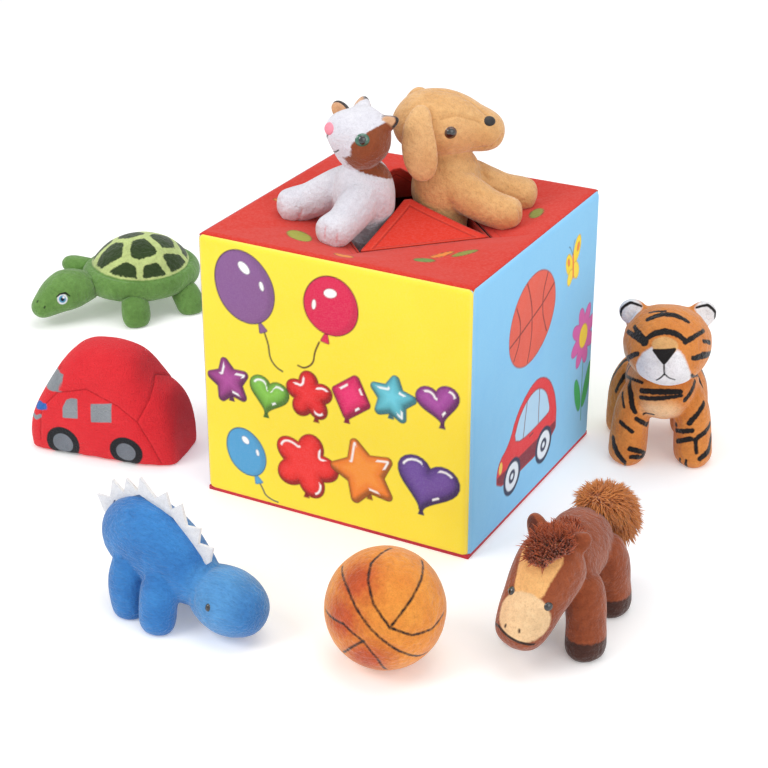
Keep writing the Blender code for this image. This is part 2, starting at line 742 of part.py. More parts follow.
DINOSAUR_FRONT_LEG_SHARES = (
    (0.08, 0.16, 0.47, 0.00, 0.00),
    (0.09, 0.18, 0.43, 0.100, 0.120),
    (0.12, 0.23, 0.30, 0.135, 0.150),
    (0.14, 0.27, 0.16, 0.135, 0.150),
    (0.14, 0.28, 0.06, 0.130, 0.145),
    (0.14, 0.28, 0.00, 0.090, 0.100),
)
DINOSAUR_HIND_LEG_SHARES = (
    (-0.22, 0.15, 0.50, 0.00, 0.00),
    (-0.22, 0.18, 0.45, 0.110, 0.140),
    (-0.22, 0.22, 0.30, 0.140, 0.160),
    (-0.20, 0.25, 0.16, 0.130, 0.145),
    (-0.19, 0.25, 0.06, 0.120, 0.135),
    (-0.19, 0.25, 0.00, 0.090, 0.100),
)

TURTLE_SHELL_SHARES = (
    (0.00, 0.24),
    (0.55, 0.24),
    (0.71, 0.28),
    (0.79, 0.37),
    (0.80, 0.48),
    (0.74, 0.57),
    (0.66, 0.59),
    (0.58, 0.71),
    (0.44, 0.83),
    (0.24, 0.92),
    (0.00, 0.95),
)
TURTLE_SHELL_WIDTH_SHARE = 0.90
TURTLE_HEAD_SHARES = (
    (0.50, 0.00, 0.42, 0.00, 0.00),
    (0.54, 0.00, 0.42, 0.16, 0.14),
    (0.74, 0.02, 0.40, 0.20, 0.17),
    (0.92, 0.05, 0.42, 0.28, 0.24),
    (1.08, 0.07, 0.42, 0.30, 0.27),
    (1.24, 0.09, 0.37, 0.26, 0.23),
    (1.40, 0.11, 0.28, 0.18, 0.17),
    (1.52, 0.12, 0.22, 0.12, 0.11),
    (1.57, 0.12, 0.20, 0.00, 0.00),
)
TURTLE_FRONT_LEG_SHARES = (
    (0.30, 0.44, 0.40, 0.00, 0.00),
    (0.31, 0.48, 0.37, 0.10, 0.13),
    (0.33, 0.60, 0.26, 0.13, 0.18),
    (0.35, 0.68, 0.14, 0.14, 0.19),
    (0.35, 0.70, 0.05, 0.13, 0.17),
    (0.35, 0.70, 0.00, 0.09, 0.12),
)
TURTLE_RAISED_LEG_SHARES = (
    (0.36, -0.36, 0.38, 0.00, 0.00),
    (0.42, -0.40, 0.39, 0.12, 0.12),
    (0.60, -0.50, 0.43, 0.16, 0.13),
    (0.74, -0.58, 0.47, 0.17, 0.12),
    (0.84, -0.64, 0.50, 0.12, 0.08),
    (0.88, -0.66, 0.51, 0.00, 0.00),
)
TURTLE_HIND_LEG_SHARES = (
    (-0.32, 0.40, 0.40, 0.00, 0.00),
    (-0.34, 0.44, 0.37, 0.10, 0.13),
    (-0.40, 0.54, 0.26, 0.13, 0.18),
    (-0.44, 0.62, 0.14, 0.14, 0.19),
    (-0.45, 0.64, 0.05, 0.13, 0.17),
    (-0.45, 0.64, 0.00, 0.09, 0.12),
)

# Car cross-sections: share of length, of width, and the shoulder's and roof's shares of height
CAR_SECTION_SHARES = (
    (0.500, 0.74, 0.20, 0.28),
    (0.470, 0.90, 0.30, 0.42),
    (0.390, 0.97, 0.42, 0.62),
    (0.290, 1.00, 0.50, 0.84),
    (0.190, 1.00, 0.56, 0.97),
    (0.060, 1.00, 0.57, 1.00),
    (-0.090, 1.00, 0.55, 0.99),
    (-0.200, 1.00, 0.50, 0.93),
    (-0.265, 1.00, 0.46, 0.79),
    (-0.330, 0.94, 0.42, 0.68),
    (-0.420, 0.84, 0.36, 0.62),
    (-0.475, 0.70, 0.26, 0.46),
    (-0.490, 0.58, 0.18, 0.30),
)
# Half of a cross-section, from the belly to the roof: share of half width, of shoulder, of the roof's rise
CAR_PROFILE_SHARES = (
    (0.90, 0.00, 0.00),
    (0.98, 0.12, 0.00),
    (1.00, 0.60, 0.00),
    (0.95, 1.00, 0.00),
    (0.78, 1.00, 0.60),
    (0.44, 1.00, 0.93),
)


def standing_toy(toy, size, where, body_shares, head_shares, finish):
    place = stand(f"{toy}_place", where[0], where[1], 0, where[2])
    body_rows = scaled(body_shares, size)
    head_rows = scaled(head_shares, size)
    stuffed(f"{toy}_body", body_rows, finish, place)
    body_cutter = stuffed_cutter(f"{toy}_body_cutter", body_rows, finish, place)
    head = stuffed(f"{toy}_head", head_rows, finish, place)
    combine(head, body_cutter, "DIFFERENCE")
    head_cutter = stuffed_cutter(f"{toy}_head_cutter", head_rows, finish, place)
    return place, head, (body_cutter, head_cutter)


def add_ears(toy, head, shares, size, finish, place, turn=0.0, pivot=(0, 0)):
    for side, word in ((1, "left"), (-1, "right")):
        ear = stuffed(f"{toy}_ear_{word}", scaled(shares, size, side), finish, place, LIMB_SIDES)
        spin = Matrix.Rotation(turn, 4, "Z")
        centre = Vector((*pivot, 0))
        ear.location = centre - spin @ centre
        ear.rotation_euler = (0, 0, turn)
        hide_cutter(ear)
        combine(head, ear, "UNION")


def make_tiger():
    finish = material("tiger_plush", (0.78, 0.34, 0.10))
    place, head, cutters = standing_toy("tiger", TIGER_HEIGHT, TIGER_PLACE, TIGER_BODY_SHARES,
                                        TIGER_HEAD_SHARES, finish)
    add_ears("tiger", head, TIGER_EAR_SHARES, TIGER_HEIGHT, finish, place)
    legs("tiger", TIGER_FRONT_LEG_SHARES, TIGER_HEIGHT, finish, place, cutters, "front")
    legs("tiger", TIGER_HIND_LEG_SHARES, TIGER_HEIGHT, finish, place, cutters, "hind")


def make_horse():
    finish = material("horse_plush", (0.33, 0.11, 0.05))
    place, head, cutters = standing_toy("horse", HORSE_HEIGHT, HORSE_PLACE, HORSE_BODY_SHARES,
                                        HORSE_HEAD_SHARES, finish)
    first, last = Vector(HORSE_HEAD_SHARES[0][:2]), Vector(HORSE_HEAD_SHARES[-1][:2])
    turn = math.atan2(last.y - first.y, last.x - first.x)
    add_ears("horse", head, HORSE_EAR_SHARES, HORSE_HEIGHT, finish, place, turn, first * HORSE_HEIGHT)
    legs("horse", HORSE_FRONT_LEG_SHARES, HORSE_HEIGHT, finish, place, cutters, "front")
    legs("horse", HORSE_HIND_LEG_SHARES, HORSE_HEIGHT, finish, place, cutters, "hind")
    tail = stuffed("horse_tail", scaled(HORSE_TAIL_SHARES, HORSE_HEIGHT),
                   material("horse_tail_fur", (0.62, 0.24, 0.05)), place, LIMB_SIDES)
    combine(tail, cutters[0], "DIFFERENCE")


def crest_outline():
    """A strip of felt spikes that follows the dinosaur's back, seen from the side."""
    ridge = []
    for (x, _, z, _, depth), following in zip(DINOSAUR_BODY_SHARES[1:7], DINOSAUR_BODY_SHARES[2:8]):
        along = Vector((following[0] - x, following[2] - z)).normalized()
        normal = Vector((-along.y, along.x))
        ridge.append((Vector((x, z)) + normal * depth) * DINOSAUR_HEIGHT)
    lengths = [0.0]
    for a, b in zip(ridge, ridge[1:]):
        lengths.append(lengths[-1] + (b - a).length)

    def ridge_at(share):
        reach = share * lengths[-1]
        for i in range(len(ridge) - 1):
            if reach <= lengths[i + 1] or i == len(ridge) - 2:
                part = (reach - lengths[i]) / (lengths[i + 1] - lengths[i])
                along = (ridge[i + 1] - ridge[i]).normalized()
                return ridge[i].lerp(ridge[i + 1], part), Vector((-along.y, along.x))

    outer, inner = [], []
    for spike in range(CREST_SPIKES):
        start, normal = ridge_at(spike / CREST_SPIKES)
        tip, tip_normal = ridge_at((spike + 0.5) / CREST_SPIKES)
        outer.append(start + normal * CREST_HEIGHT * 0.3)
        outer.append(tip + tip_normal * CREST_HEIGHT)
        inner.append(start - normal * CREST_HEIGHT * 0.4)
    end, normal = ridge_at(1.0)
    outer.append(end + normal * CREST_HEIGHT * 0.3)
    inner.append(end - normal * CREST_HEIGHT * 0.4)
    return [tuple(point) for point in outer + inner[::-1]]


def make_dinosaur():
    finish = material("dinosaur_plush", (0.05, 0.22, 0.62))
    place, _, cutters = standing_toy("dinosaur", DINOSAUR_HEIGHT, DINOSAUR_PLACE,
                                     DINOSAUR_BODY_SHARES, DINOSAUR_HEAD_SHARES, finish)
    legs("dinosaur", DINOSAUR_FRONT_LEG_SHARES, DINOSAUR_HEIGHT, finish, place, cutters, "front")
    legs("dinosaur", DINOSAUR_HIND_LEG_SHARES, DINOSAUR_HEIGHT, finish, place, cutters, "hind")
    half = CREST_THICKNESS / 2
    crest = add_object("dinosaur_crest", prism(crest_outline(), -half, half, "Y"),
                       material("white_felt", (0.86, 0.86, 0.86)), place, smooth=False)
    combine(crest, cutters[0], "DIFFERENCE")
    combine(crest, cutters[1], "DIFFERENCE")


def shell_skin():
    """The turtle's shell: a dome over a padded rim, turned about Z and a little narrower than long."""
    sides = BALL_SIDES + 4
    bm = bmesh.new()
    rings = []
    for radius_share, height_share in TURTLE_SHELL_SHARES:
        radius, height = radius_share * TURTLE_HEIGHT, height_share * TURTLE_HEIGHT
        if radius == 0:
            rings.append([bm.verts.new((0, 0, height))])
            continue
        ring = []
        for k in range(sides):
            angle = 2 * math.pi * k / sides
            across = radius * math.sin(angle) * TURTLE_SHELL_WIDTH_SHARE
            ring.append(bm.verts.new((radius * math.cos(angle), across, height)))
        rings.append(ring)
    for ring, following in zip(rings, rings[1:]):
        bridge(bm, ring, following)
    return bm


def make_turtle():
    finish = material("turtle_plush", (0.20, 0.42, 0.12))
    x, y, heading = TURTLE_PLACE
    place = stand("turtle_place", x, y, 0, heading)
    add_object("turtle_shell", shell_skin(), material("shell_plush", (0.62, 0.78, 0.35)), place)
    shell_cutter = add_object("turtle_shell_cutter", grow(shell_skin(), FIT_GAP), finish, place)
    hide_cutter(shell_cutter)
    head_rows = scaled(TURTLE_HEAD_SHARES, TURTLE_HEIGHT)
    head = stuffed("turtle_head", head_rows, finish, place)
    combine(head, shell_cutter, "DIFFERENCE")
    head_cutter = stuffed_cutter("turtle_head_cutter", head_rows, finish, place)
    cutters = (shell_cutter, head_cutter)
    front = (("left", TURTLE_FRONT_LEG_SHARES), ("right", TURTLE_RAISED_LEG_SHARES))
    for word, table in front:
        leg = stuffed(f"turtle_front_leg_{word}", scaled(table, TURTLE_HEIGHT), finish, place, LIMB_SIDES)
        for cutter in cutters:
            combine(leg, cutter, "DIFFERENCE")
    legs("turtle", TURTLE_HIND_LEG_SHARES, TURTLE_HEIGHT, finish, place, cutters, "hind")


def make_car():
    """A soft car in one stuffed piece: its wheels, windows and lamps are flat patches."""
    x, y, heading = CAR_PLACE
    place = stand("car_place", x, y, 0, heading)
    bm = bmesh.new()
    rings = []
    for along, wide, shoulder, roof in CAR_SECTION_SHARES:
        half = []
        for across, up, rise in CAR_PROFILE_SHARES:
            height = (up * shoulder + rise * (roof - shoulder)) * CAR_HEIGHT
            half.append((across * wide * CAR_WIDTH / 2, height))
        outline = half + [(0, roof * CAR_HEIGHT)] + [(-a, b) for a, b in reversed(half)]
        rings.append([bm.verts.new((along * CAR_LENGTH, a, b)) for a, b in outline])
    for ring, following in zip(rings, rings[1:]):
        bridge(bm, ring, following)
    bm.faces.new(rings[0])
    bm.faces.new(rings[-1])
    add_object("car_body", bm, material("red_knit", (0.78, 0.02, 0.03)), place)


def make_ball():
    """A stuffed ball, flat where it rests."""
    x, y, heading = BALL_PLACE
    place = stand("ball_place", x, y, 0, heading)
    centre = BALL_RADIUS - FLOOR_FLAT
    lowest = math.asin(centre / BALL_RADIUS)
    rows = []
    for i in range(BALL_RINGS):
        angle = -lowest + (lowest + math.pi / 2) * i / BALL_RINGS
        width = BALL_RADIUS * math.cos(angle)
        rows.append((0, 0, centre + BALL_RADIUS * math.sin(angle), width, width))
    rows.append((0, 0, centre + BALL_RADIUS, 0, 0))
    stuffed("ball", rows, material("ball_plush", (0.85, 0.36, 0.05)), place, BALL_SIDES)


def main():
    clear_scene()
    box_walls()
    box_base()
    box_lining()
    seat = top_panel()
    flaps()
    make_cat(seat)
    make_dog(seat)
    make_tiger()
    make_horse()
    make_dinosaur()
    make_turtle()
    make_car()
    make_ball()


main()
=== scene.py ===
import math

import bmesh
import bpy
import numpy as np
from mathutils import Matrix, Vector


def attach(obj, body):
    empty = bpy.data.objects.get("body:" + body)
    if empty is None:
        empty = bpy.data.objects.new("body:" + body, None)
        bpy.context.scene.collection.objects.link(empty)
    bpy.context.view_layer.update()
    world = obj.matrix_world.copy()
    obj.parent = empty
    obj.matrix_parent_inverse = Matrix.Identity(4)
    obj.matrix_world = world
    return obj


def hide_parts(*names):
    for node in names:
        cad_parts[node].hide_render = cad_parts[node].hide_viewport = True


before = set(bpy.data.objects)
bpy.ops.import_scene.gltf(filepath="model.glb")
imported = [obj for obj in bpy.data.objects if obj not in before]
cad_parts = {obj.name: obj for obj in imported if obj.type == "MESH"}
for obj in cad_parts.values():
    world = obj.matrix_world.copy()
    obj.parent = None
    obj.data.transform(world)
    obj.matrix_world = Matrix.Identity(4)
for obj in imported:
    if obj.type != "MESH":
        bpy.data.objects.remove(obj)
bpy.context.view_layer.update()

# Where each toy stands: x, y, z and the way it faces. Its own X points ahead, its Y to its left
places = {
    "cat": (-0.01854, -0.01854, 0.182, 228), "dog": (0.01854, 0.01854, 0.182, 28),
    "tiger": (0.1495, 0.1095, 0, -66), "horse": (0.184, -0.136, 0, -85),
    "dinosaur": (-0.039, -0.237, 0, -9), "turtle": (-0.3230, 0.1455, 0, 236),
    "car": (-0.1950, -0.0725, 0, 190), "ball": (0.1045, -0.2225, 0, 0)}

# The camera's place, its turn and dip in degrees, and its lens
sight = {"from": Vector((0.5448, -1.0474, 0.64)), "turn": 28.14, "dip": 26.15, "lens": 88.83, "sensor": 36,
         "width": 768}
sightTurn, sightDip = math.radians(sight["turn"]), math.radians(sight["dip"])
sightAhead = Vector((-math.sin(sightTurn) * math.cos(sightDip), math.cos(sightTurn) * math.cos(sightDip),
                     -math.sin(sightDip)))
sightRight = Vector((math.cos(sightTurn), math.sin(sightTurn), 0))
sightUp = sightRight.cross(sightAhead)

# Small features are read off enlarged crops of the photograph: the pixel at a crop's corner, and how far it
# is enlarged
crops = {"cat": (290, 85, 7), "dog": (290, 85, 7), "tiger": (600, 300, 8), "horse": (480, 460, 3.11),
         "dinosaur": (85, 460, 2.73), "turtle": (15, 215, 2.8)}


# Shader sockets that sums can be written with
class Wire:
    def __init__(self, finish, socket):
        self.finish, self.socket = finish, socket

    def maths(self, operation, first, second=0.0):
        return self.finish.node("ShaderNodeMath", {"operation": operation}, {0: first, 1: second})

    def __add__(self, other):
        return self.maths("ADD", self, other)

    __radd__ = __add__

    def __sub__(self, other):
        return self.maths("SUBTRACT", self, other)

    def __rsub__(self, other):
        return self.maths("SUBTRACT", other, self)

    def __mul__(self, other):
        return self.maths("MULTIPLY", self, other)

    __rmul__ = __mul__

    def __truediv__(self, other):
        return self.maths("DIVIDE", self, other)

    def clamp(self):
        return self.maths("MINIMUM", self.maths("MAXIMUM", self, 0.0), 1.0)


class Finish:
    def __init__(self, name, roughness=0.9, sheen=0.0, sheenTint=(1, 1, 1, 1), coat=0.0):
        self.material = bpy.data.materials.new(name)
        self.material.use_nodes = True
        self.tree = self.material.node_tree
        self.shader = self.tree.nodes["Principled BSDF"]
        self.shader.inputs["Roughness"].default_value = roughness
        self.shader.inputs["Sheen Weight"].default_value = sheen
        self.shader.inputs["Sheen Roughness"].default_value = 0.45
        self.shader.inputs["Sheen Tint"].default_value = sheenTint
        self.shader.inputs["Coat Weight"].default_value = coat
        self.shader.inputs["Specular IOR Level"].default_value = 0.25 if roughness > 0.6 else 0.5
        self.spot = self.node("ShaderNodeTexCoord", output="Object")

    def node(self, kind, settings=None, values=None, output=0):
        made = self.tree.nodes.new(kind)
        for key, value in (settings or {}).items():
            setattr(made, key, value)
        for key, value in (values or {}).items():
            fits = [s for i, s in enumerate(made.inputs) if key in (i, s.identifier)]
            if isinstance(value, Wire):
                self.tree.links.new(value.socket, fits[0])
            else:
                fits[0].default_value = value
        return Wire(self, made.outputs[output])

    def noise(self, scale, detail=2.0, stretch=None):
        spot = self.spot
        if stretch:
            spot = self.node("ShaderNodeMapping", None, {"Vector": spot, "Scale": stretch})
        return self.node("ShaderNodeTexNoise", None, {"Vector": spot, "Scale": scale, "Detail": detail})

    def mix(self, factor, first, second, blend="MIX"):
        return self.node("ShaderNodeMix", {"data_type": "RGBA", "blend_type": blend},
                         {"Factor_Float": factor, "A_Color": first, "B_Color": second}, 2)

    def painted(self, name):
        return self.node("ShaderNodeAttribute", {"attribute_name": name}, None, "Fac")

    def paintedColour(self, name):
        return self.node("ShaderNodeAttribute", {"attribute_name": name}, None, "Color")

    def bump(self, height, strength, distance):
        return self.node("ShaderNodeBump", None,
                         {"Height": height, "Strength": strength, "Distance": distance})

    def finish(self, colour, normal=None, roughness=None):
        self.tree.links.new(colour.socket, self.shader.inputs["Base Color"])
        if normal:
            self.tree.links.new(normal.socket, self.shader.inputs["Normal"])
        if roughness:
            self.tree.links.new(roughness.socket, self.shader.inputs["Roughness"])
        return self.material


def tint(red, green, blue):  # a screen colour, 0 to 255, as shaders read it
    def linear(value):
        value /= 255
        return value / 12.92 if value <= 0.04045 else ((value + 0.055) / 1.055) ** 2.4
    return (linear(red), linear(green), linear(blue), 1.0)


# Meshes
def only(piece):
    bpy.ops.object.select_all(action="DESELECT")
    piece.select_set(True)
    bpy.context.view_layer.objects.active = piece


def applySteps(piece):
    only(piece)
    for step in list(piece.modifiers):
        bpy.ops.object.modifier_apply(modifier=step.name)


def spots(piece):
    flat = np.empty(len(piece.data.vertices) * 3)
    piece.data.vertices.foreach_get("co", flat)
    return flat.reshape(-1, 3)


def moveTo(piece, where):
    piece.data.vertices.foreach_set("co", np.ascontiguousarray(where).ravel())
    piece.data.update()


def outwards(piece):
    flat = np.empty(len(piece.data.vertices) * 3)
    piece.data.vertex_normals.foreach_get("vector", flat)
    return flat.reshape(-1, 3)


def ripple(where, size, seed):  # a smooth random field from -1 to 1, with waves about this long
    pick = np.random.default_rng(seed)
    total = np.zeros(len(where))
    for _ in range(7):
        way = pick.normal(size=3)
        way /= np.linalg.norm(way)
        total += np.sin(where @ way * 2 * math.pi / (size * pick.uniform(0.7, 1.5)) + pick.uniform(0, 6.28))
    return total / 7


def newPiece(name, shape):
    mesh = bpy.data.meshes.new(name)
    shape.to_mesh(mesh)
    shape.free()
    piece = bpy.data.objects.new(name, mesh)
    bpy.context.scene.collection.objects.link(piece)
    return piece


def cadCopy(name, nodes):
    shape = bmesh.new()
    for node in nodes:
        shape.from_mesh(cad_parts[node].data)
    bmesh.ops.remove_doubles(shape, verts=shape.verts, dist=1e-6)
    return newPiece(name, shape)


def settle(piece, body, nodes, material, smooth=True):
    piece.data.materials.clear()
    piece.data.materials.append(material)
    if smooth:
        piece.data.shade_smooth()
    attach(piece, body)
    if nodes:
        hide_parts(*nodes)
    return piece


def paint(piece, name, values):
    layer = piece.data.attributes.new(name, "FLOAT", "POINT")
    layer.data.foreach_set("value", np.asarray(values, dtype=np.float32))


def paintColours(piece, name, colours):
    layer = piece.data.attributes.new(name, "FLOAT_COLOR", "POINT")
    layer.data.foreach_set("color", np.asarray(colours, dtype=np.float32).ravel())


def toyView(where, toy):  # places on a toy in its own millimetres
    x, y, z, turn = places[toy]
    c, s = math.cos(math.radians(turn)), math.sin(math.radians(turn))
    moved = (where - np.array((x, y, z))) * 1000
    return np.stack((moved[:, 0] * c + moved[:, 1] * s, moved[:, 1] * c - moved[:, 0] * s, moved[:, 2]), 1)


def toyWorld(points, toy):
    x, y, z, turn = places[toy]
    c, s = math.cos(math.radians(turn)), math.sin(math.radians(turn))
    p = np.atleast_2d(np.array(points, float)) / 1000
    return np.stack((p[:, 0] * c - p[:, 1] * s + x, p[:, 0] * s + p[:, 1] * c + y, p[:, 2] + z), 1)


def lineGap(where, line):  # from each place to a drawn line; a line's points may carry half widths
    line = np.array(line, float)
    best = np.full(len(where), 1e3)
    size = where.shape[1]
    for a, b in zip(line, line[1:]):
        ab = b[:size] - a[:size]
        along = np.clip((where - a[:size]) @ ab / max(ab @ ab, 1e-9), 0, 1)
        gap = np.linalg.norm(where - a[:size] - along[:, None] * ab, axis=1)
        if len(a) > size:
            gap -= a[size] + (b[size] - a[size]) * along
        best = np.minimum(best, gap)
    return best


def snapLine(skin, toy, line):  # draws a line's points onto the skin
    line = np.array(line, float)
    dense = [line[0]]
    for a, b in zip(line, line[1:]):
        count = max(1, math.ceil(np.linalg.norm(b[:3] - a[:3]) / 2.5))
        dense += [a + (b - a) * k / count for k in range(1, count + 1)]
    snapped = []
    for point in dense:
        spot = Vector(toyWorld(point[:3], toy)[0])
        _, hit, _, _ = skin.closest_point_on_mesh(spot)
        snapped.append((*toyView(np.array([hit]), toy)[0], *point[3:]))
    return snapped


def seen(skin, toy, points):  # from places in a toy's crop to places on its skin, in its own millimetres
    left, top, zoom = crops[toy]
    focal = sight["lens"] * sight["width"] / sight["sensor"]
    found = []
    for x, y, *rest in points:
        across, down = left + x / zoom - sight["width"] / 2, top + y / zoom - sight["width"] / 2
        way = (sightAhead * focal + sightRight * across - sightUp * down).normalized()
        hit, place, _, _ = skin.ray_cast(sight["from"], way)
        if not hit:
            reach = (Vector(spots(skin).mean(axis=0)) - sight["from"]).dot(way)
            _, place, _, _ = skin.closest_point_on_mesh(sight["from"] + way * reach)
        found.append((*toyView(np.array([place]), toy)[0], *rest))
    return found


def stuffedSkin(toy, nodes, body, look):
    skin = cadCopy(toy + "Skin", nodes)
    step = skin.modifiers.new("round", "SUBSURF")
    step.levels = step.render_levels = 2
    applySteps(skin)
    moveTo(skin, spots(skin) + outwards(skin) * look["swell"])
    step = skin.modifiers.new("join", "REMESH")
    step.mode = "VOXEL"
    step.voxel_size = look["grain"]
    step = skin.modifiers.new("ease", "SMOOTH")
    step.factor = 0.5
    step.iterations = look["ease"]
    applySteps(skin)
    where = spots(skin)
    skinOut = outwards(skin)
    where = where + skinOut * (ripple(where, 0.018, 3)[:, None] * look["lumps"])
    floor = places[toy][2]
    if floor == 0:
        where[:, 2] = np.maximum(where[:, 2], 0.0002)
    moveTo(skin, where)
    settle(skin, body, nodes, None)
    return skin


def plush(name, look, patterns=()):
    f = Finish(name, look.get("roughness", 0.92), look.get("sheen", 0.35),
               look.get("sheenTint", (1, 1, 1, 1)))
    nap = f.noise(look.get("nap", 1100), 3.0, look.get("weave"))
    crushed = f.noise(look.get("crush", 300), 4.0, look.get("weave")) - 0.5
    patchy = f.noise(look.get("patches", 55), 3.0)
    colour = f.mix(((patchy - 0.36) * 2.6).clamp() * 0.8, look["colour"], look["shade"])
    edge = f.noise(420, 2.0) - 0.5
    for attribute, ink, softness, wobble in patterns:
        mask = (0.5 - (f.painted(attribute) + edge * wobble) / softness).clamp()
        inkShade = f.mix(((patchy - 0.38) * 3.2).clamp(), ink, tuple(c * 0.82 for c in ink[:3]) + (1.0,))
        colour = f.mix(mask, colour, inkShade)
    deep = f.mix(((0.55 - nap) * 2.6).clamp() * look.get("depth", 0.35), colour, (0.35, 0.33, 0.33, 1),
                 "MULTIPLY")
    lit = f.mix((crushed * 3.0).clamp() * look.get("light", 0.30), deep, (1, 0.96, 0.9, 1), "SOFT_LIGHT")
    low = f.mix((crushed * -3.0).clamp() * look.get("light", 0.30), lit, (0.45, 0.42, 0.42, 1), "MULTIPLY")
    return f.finish(low, f.bump(nap * 0.5 + crushed * 1.6, look.get("bump", 0.8), 0.0011))


def cloth(name, look, printed=False):
    f = Finish(name, look.get("roughness", 0.85), look.get("sheen", 0.15))
    threads = f.noise(2600, 1.0, (1, 1, 0.18)) * 0.5 + f.noise(2600, 1.0, (0.18, 0.18, 1)) * 0.5
    worn = f.noise(26, 4.0)
    if printed:
        base = f.paintedColour("print")
        colour = f.mix(((worn - 0.42) * 2.4).clamp() * 0.14, base, look["wash"], "MULTIPLY")
    else:
        colour = f.mix(((worn - 0.38) * 2.6).clamp(), look["colour"], look["shade"])
    colour = f.mix(((threads - 0.42) * 3.0).clamp() * 0.05, colour, (1, 1, 1, 1))
    soft = f.noise(190, 3.0)
    return f.finish(colour, f.bump(threads + soft * 2.0, look.get("bump", 0.2), 0.0003))


def plain(name, colour, roughness, coat=0.0):
    f = Finish(name, roughness, coat=coat)
    speck = f.noise(700, 3.0)
    deeper = tuple(c * 0.75 for c in colour[:3]) + (1.0,)
    made = f.mix(((speck - 0.4) * 2).clamp() * 0.4, colour, deeper)
    return f.finish(made, f.bump(speck, 0.12, 0.0002), 0.04 * speck + (roughness - 0.02))


# Printed pictures, drawn in millimetres on a face of the box
def blobGap(spot, centre, radii, turn=0.0):
    c, s = math.cos(math.radians(turn)), math.sin(math.radians(turn))
    dx, dy = spot[:, 0] - centre[0], spot[:, 1] - centre[1]
    a, b = (dx * c + dy * s) / radii[0], (dy * c - dx * s) / radii[1]
    reach = np.hypot(a, b)
    slope = np.hypot(a / radii[0], b / radii[1])
    return reach * (reach - 1) / np.maximum(slope, 1e-6)


def outlineGap(spot, outline, rounding=0.0):
    outline = np.array(outline, float)
    best = np.full(len(spot), 1e3)
    inside = np.zeros(len(spot), bool)
    for a, b in zip(outline, np.roll(outline, -1, axis=0)):
        ab = b - a
        along = np.clip((spot - a) @ ab / max(ab @ ab, 1e-9), 0, 1)
        best = np.minimum(best, np.linalg.norm(spot - a - along[:, None] * ab, axis=1))
        crosses = (a[1] > spot[:, 1]) != (b[1] > spot[:, 1])
        reach = a[0] + (spot[:, 1] - a[1]) * ab[0] / (ab[1] if abs(ab[1]) > 1e-9 else 1e-9)
        inside ^= crosses & (spot[:, 0] < reach)
    return np.where(inside, -best, best) - rounding


def rounded(outline, closed=True):  # an outline or line with its corners cut twice
    points = np.array(outline, float)
    for _ in range(2):
        after = np.roll(points, -1, axis=0)
        cut = np.stack((points * 0.75 + after * 0.25, points * 0.25 + after * 0.75), 1).reshape(-1, 2)
        points = cut if closed else np.vstack((points[:1], cut[:-2], points[-1:]))
    return points


def turnedOutline(outline, centre, size, turn):
    c, s = math.cos(math.radians(turn)), math.sin(math.radians(turn))
    return [(centre[0] + size * (x * c - y * s), centre[1] + size * (x * s + y * c)) for x, y in outline]


def starOutline(points, waist):
    return [((1 if i % 2 == 0 else waist) * math.sin(math.pi * i / points),
             (1 if i % 2 == 0 else waist) * math.cos(math.pi * i / points)) for i in range(2 * points)]


def heartOutline():
    turns = [2 * math.pi * i / 40 for i in range(40)]
    return [(math.sin(t) ** 3,
             (13 * math.cos(t) - 5 * math.cos(2 * t) - 2 * math.cos(3 * t) - math.cos(4 * t)) / 17)
            for t in turns]


def petalOutline(petals, depth):
    turns = [2 * math.pi * i / 72 for i in range(72)]
    return [((1 - depth + depth * abs(math.cos(petals * t / 2)) * 1.2) * math.cos(t),
             (1 - depth + depth * abs(math.cos(petals * t / 2)) * 1.2) * math.sin(t)) for t in turns]


def ink(picture, gap, colour, soft=0.7, strength=1.0):
    cover = np.clip(0.5 - gap / soft, 0, 1)[:, None] * strength
    picture[:] = picture * (1 - cover) + np.array(colour) * cover


def drawBalloon(picture, spot, look):
    x, y = look["centre"]
    turn = look["turn"]
    c, s = math.cos(math.radians(turn)), math.sin(math.radians(turn))

    def at(a, b):
        return (x + a * c - b * s, y + a * s + b * c)
    wide, tall = look["radii"]
    dx, dy = spot[:, 0] - x, spot[:, 1] - y
    up = (dy * c - dx * s) / tall
    body = blobGap(spot, (x, y), (wide, tall), turn) + np.clip(-up, 0, 1) ** 2 * wide * 0.16
    line = tint(*look["line"])
    ink(picture, lineGap(spot, rounded(look["string"], False)) - 0.6, tint(*[v * 0.6 for v in look["line"]]))
    knot = outlineGap(spot, [at(-2.4, -tall - 3.6), at(2.4, -tall - 3.6), at(0, -tall + 3)], 0.5)
    ink(picture, knot - 0.5, line)
    ink(picture, knot, tint(*look["colour"]))
    ink(picture, body - 0.8, tint(*[v * 0.7 for v in look["line"]]))
    ink(picture, body, tint(*look["colour"]))
    shade = blobGap(spot, at(-wide * 0.12, tall * 0.1), (wide * 0.92, tall * 0.92), turn)
    ink(picture, np.maximum(body + 0.3, -shade), tint(*[v * 0.86 for v in look["colour"]]), 2.5, 0.55)
    for a, b, r1, r2, tilt in look["shine"]:
        spotGap = blobGap(spot, at(a * wide, b * tall), (r1, r2), turn + tilt)
        ink(picture, spotGap - 0.4, line, 0.7, 0.8)
        ink(picture, spotGap, (1, 1, 1, 1))


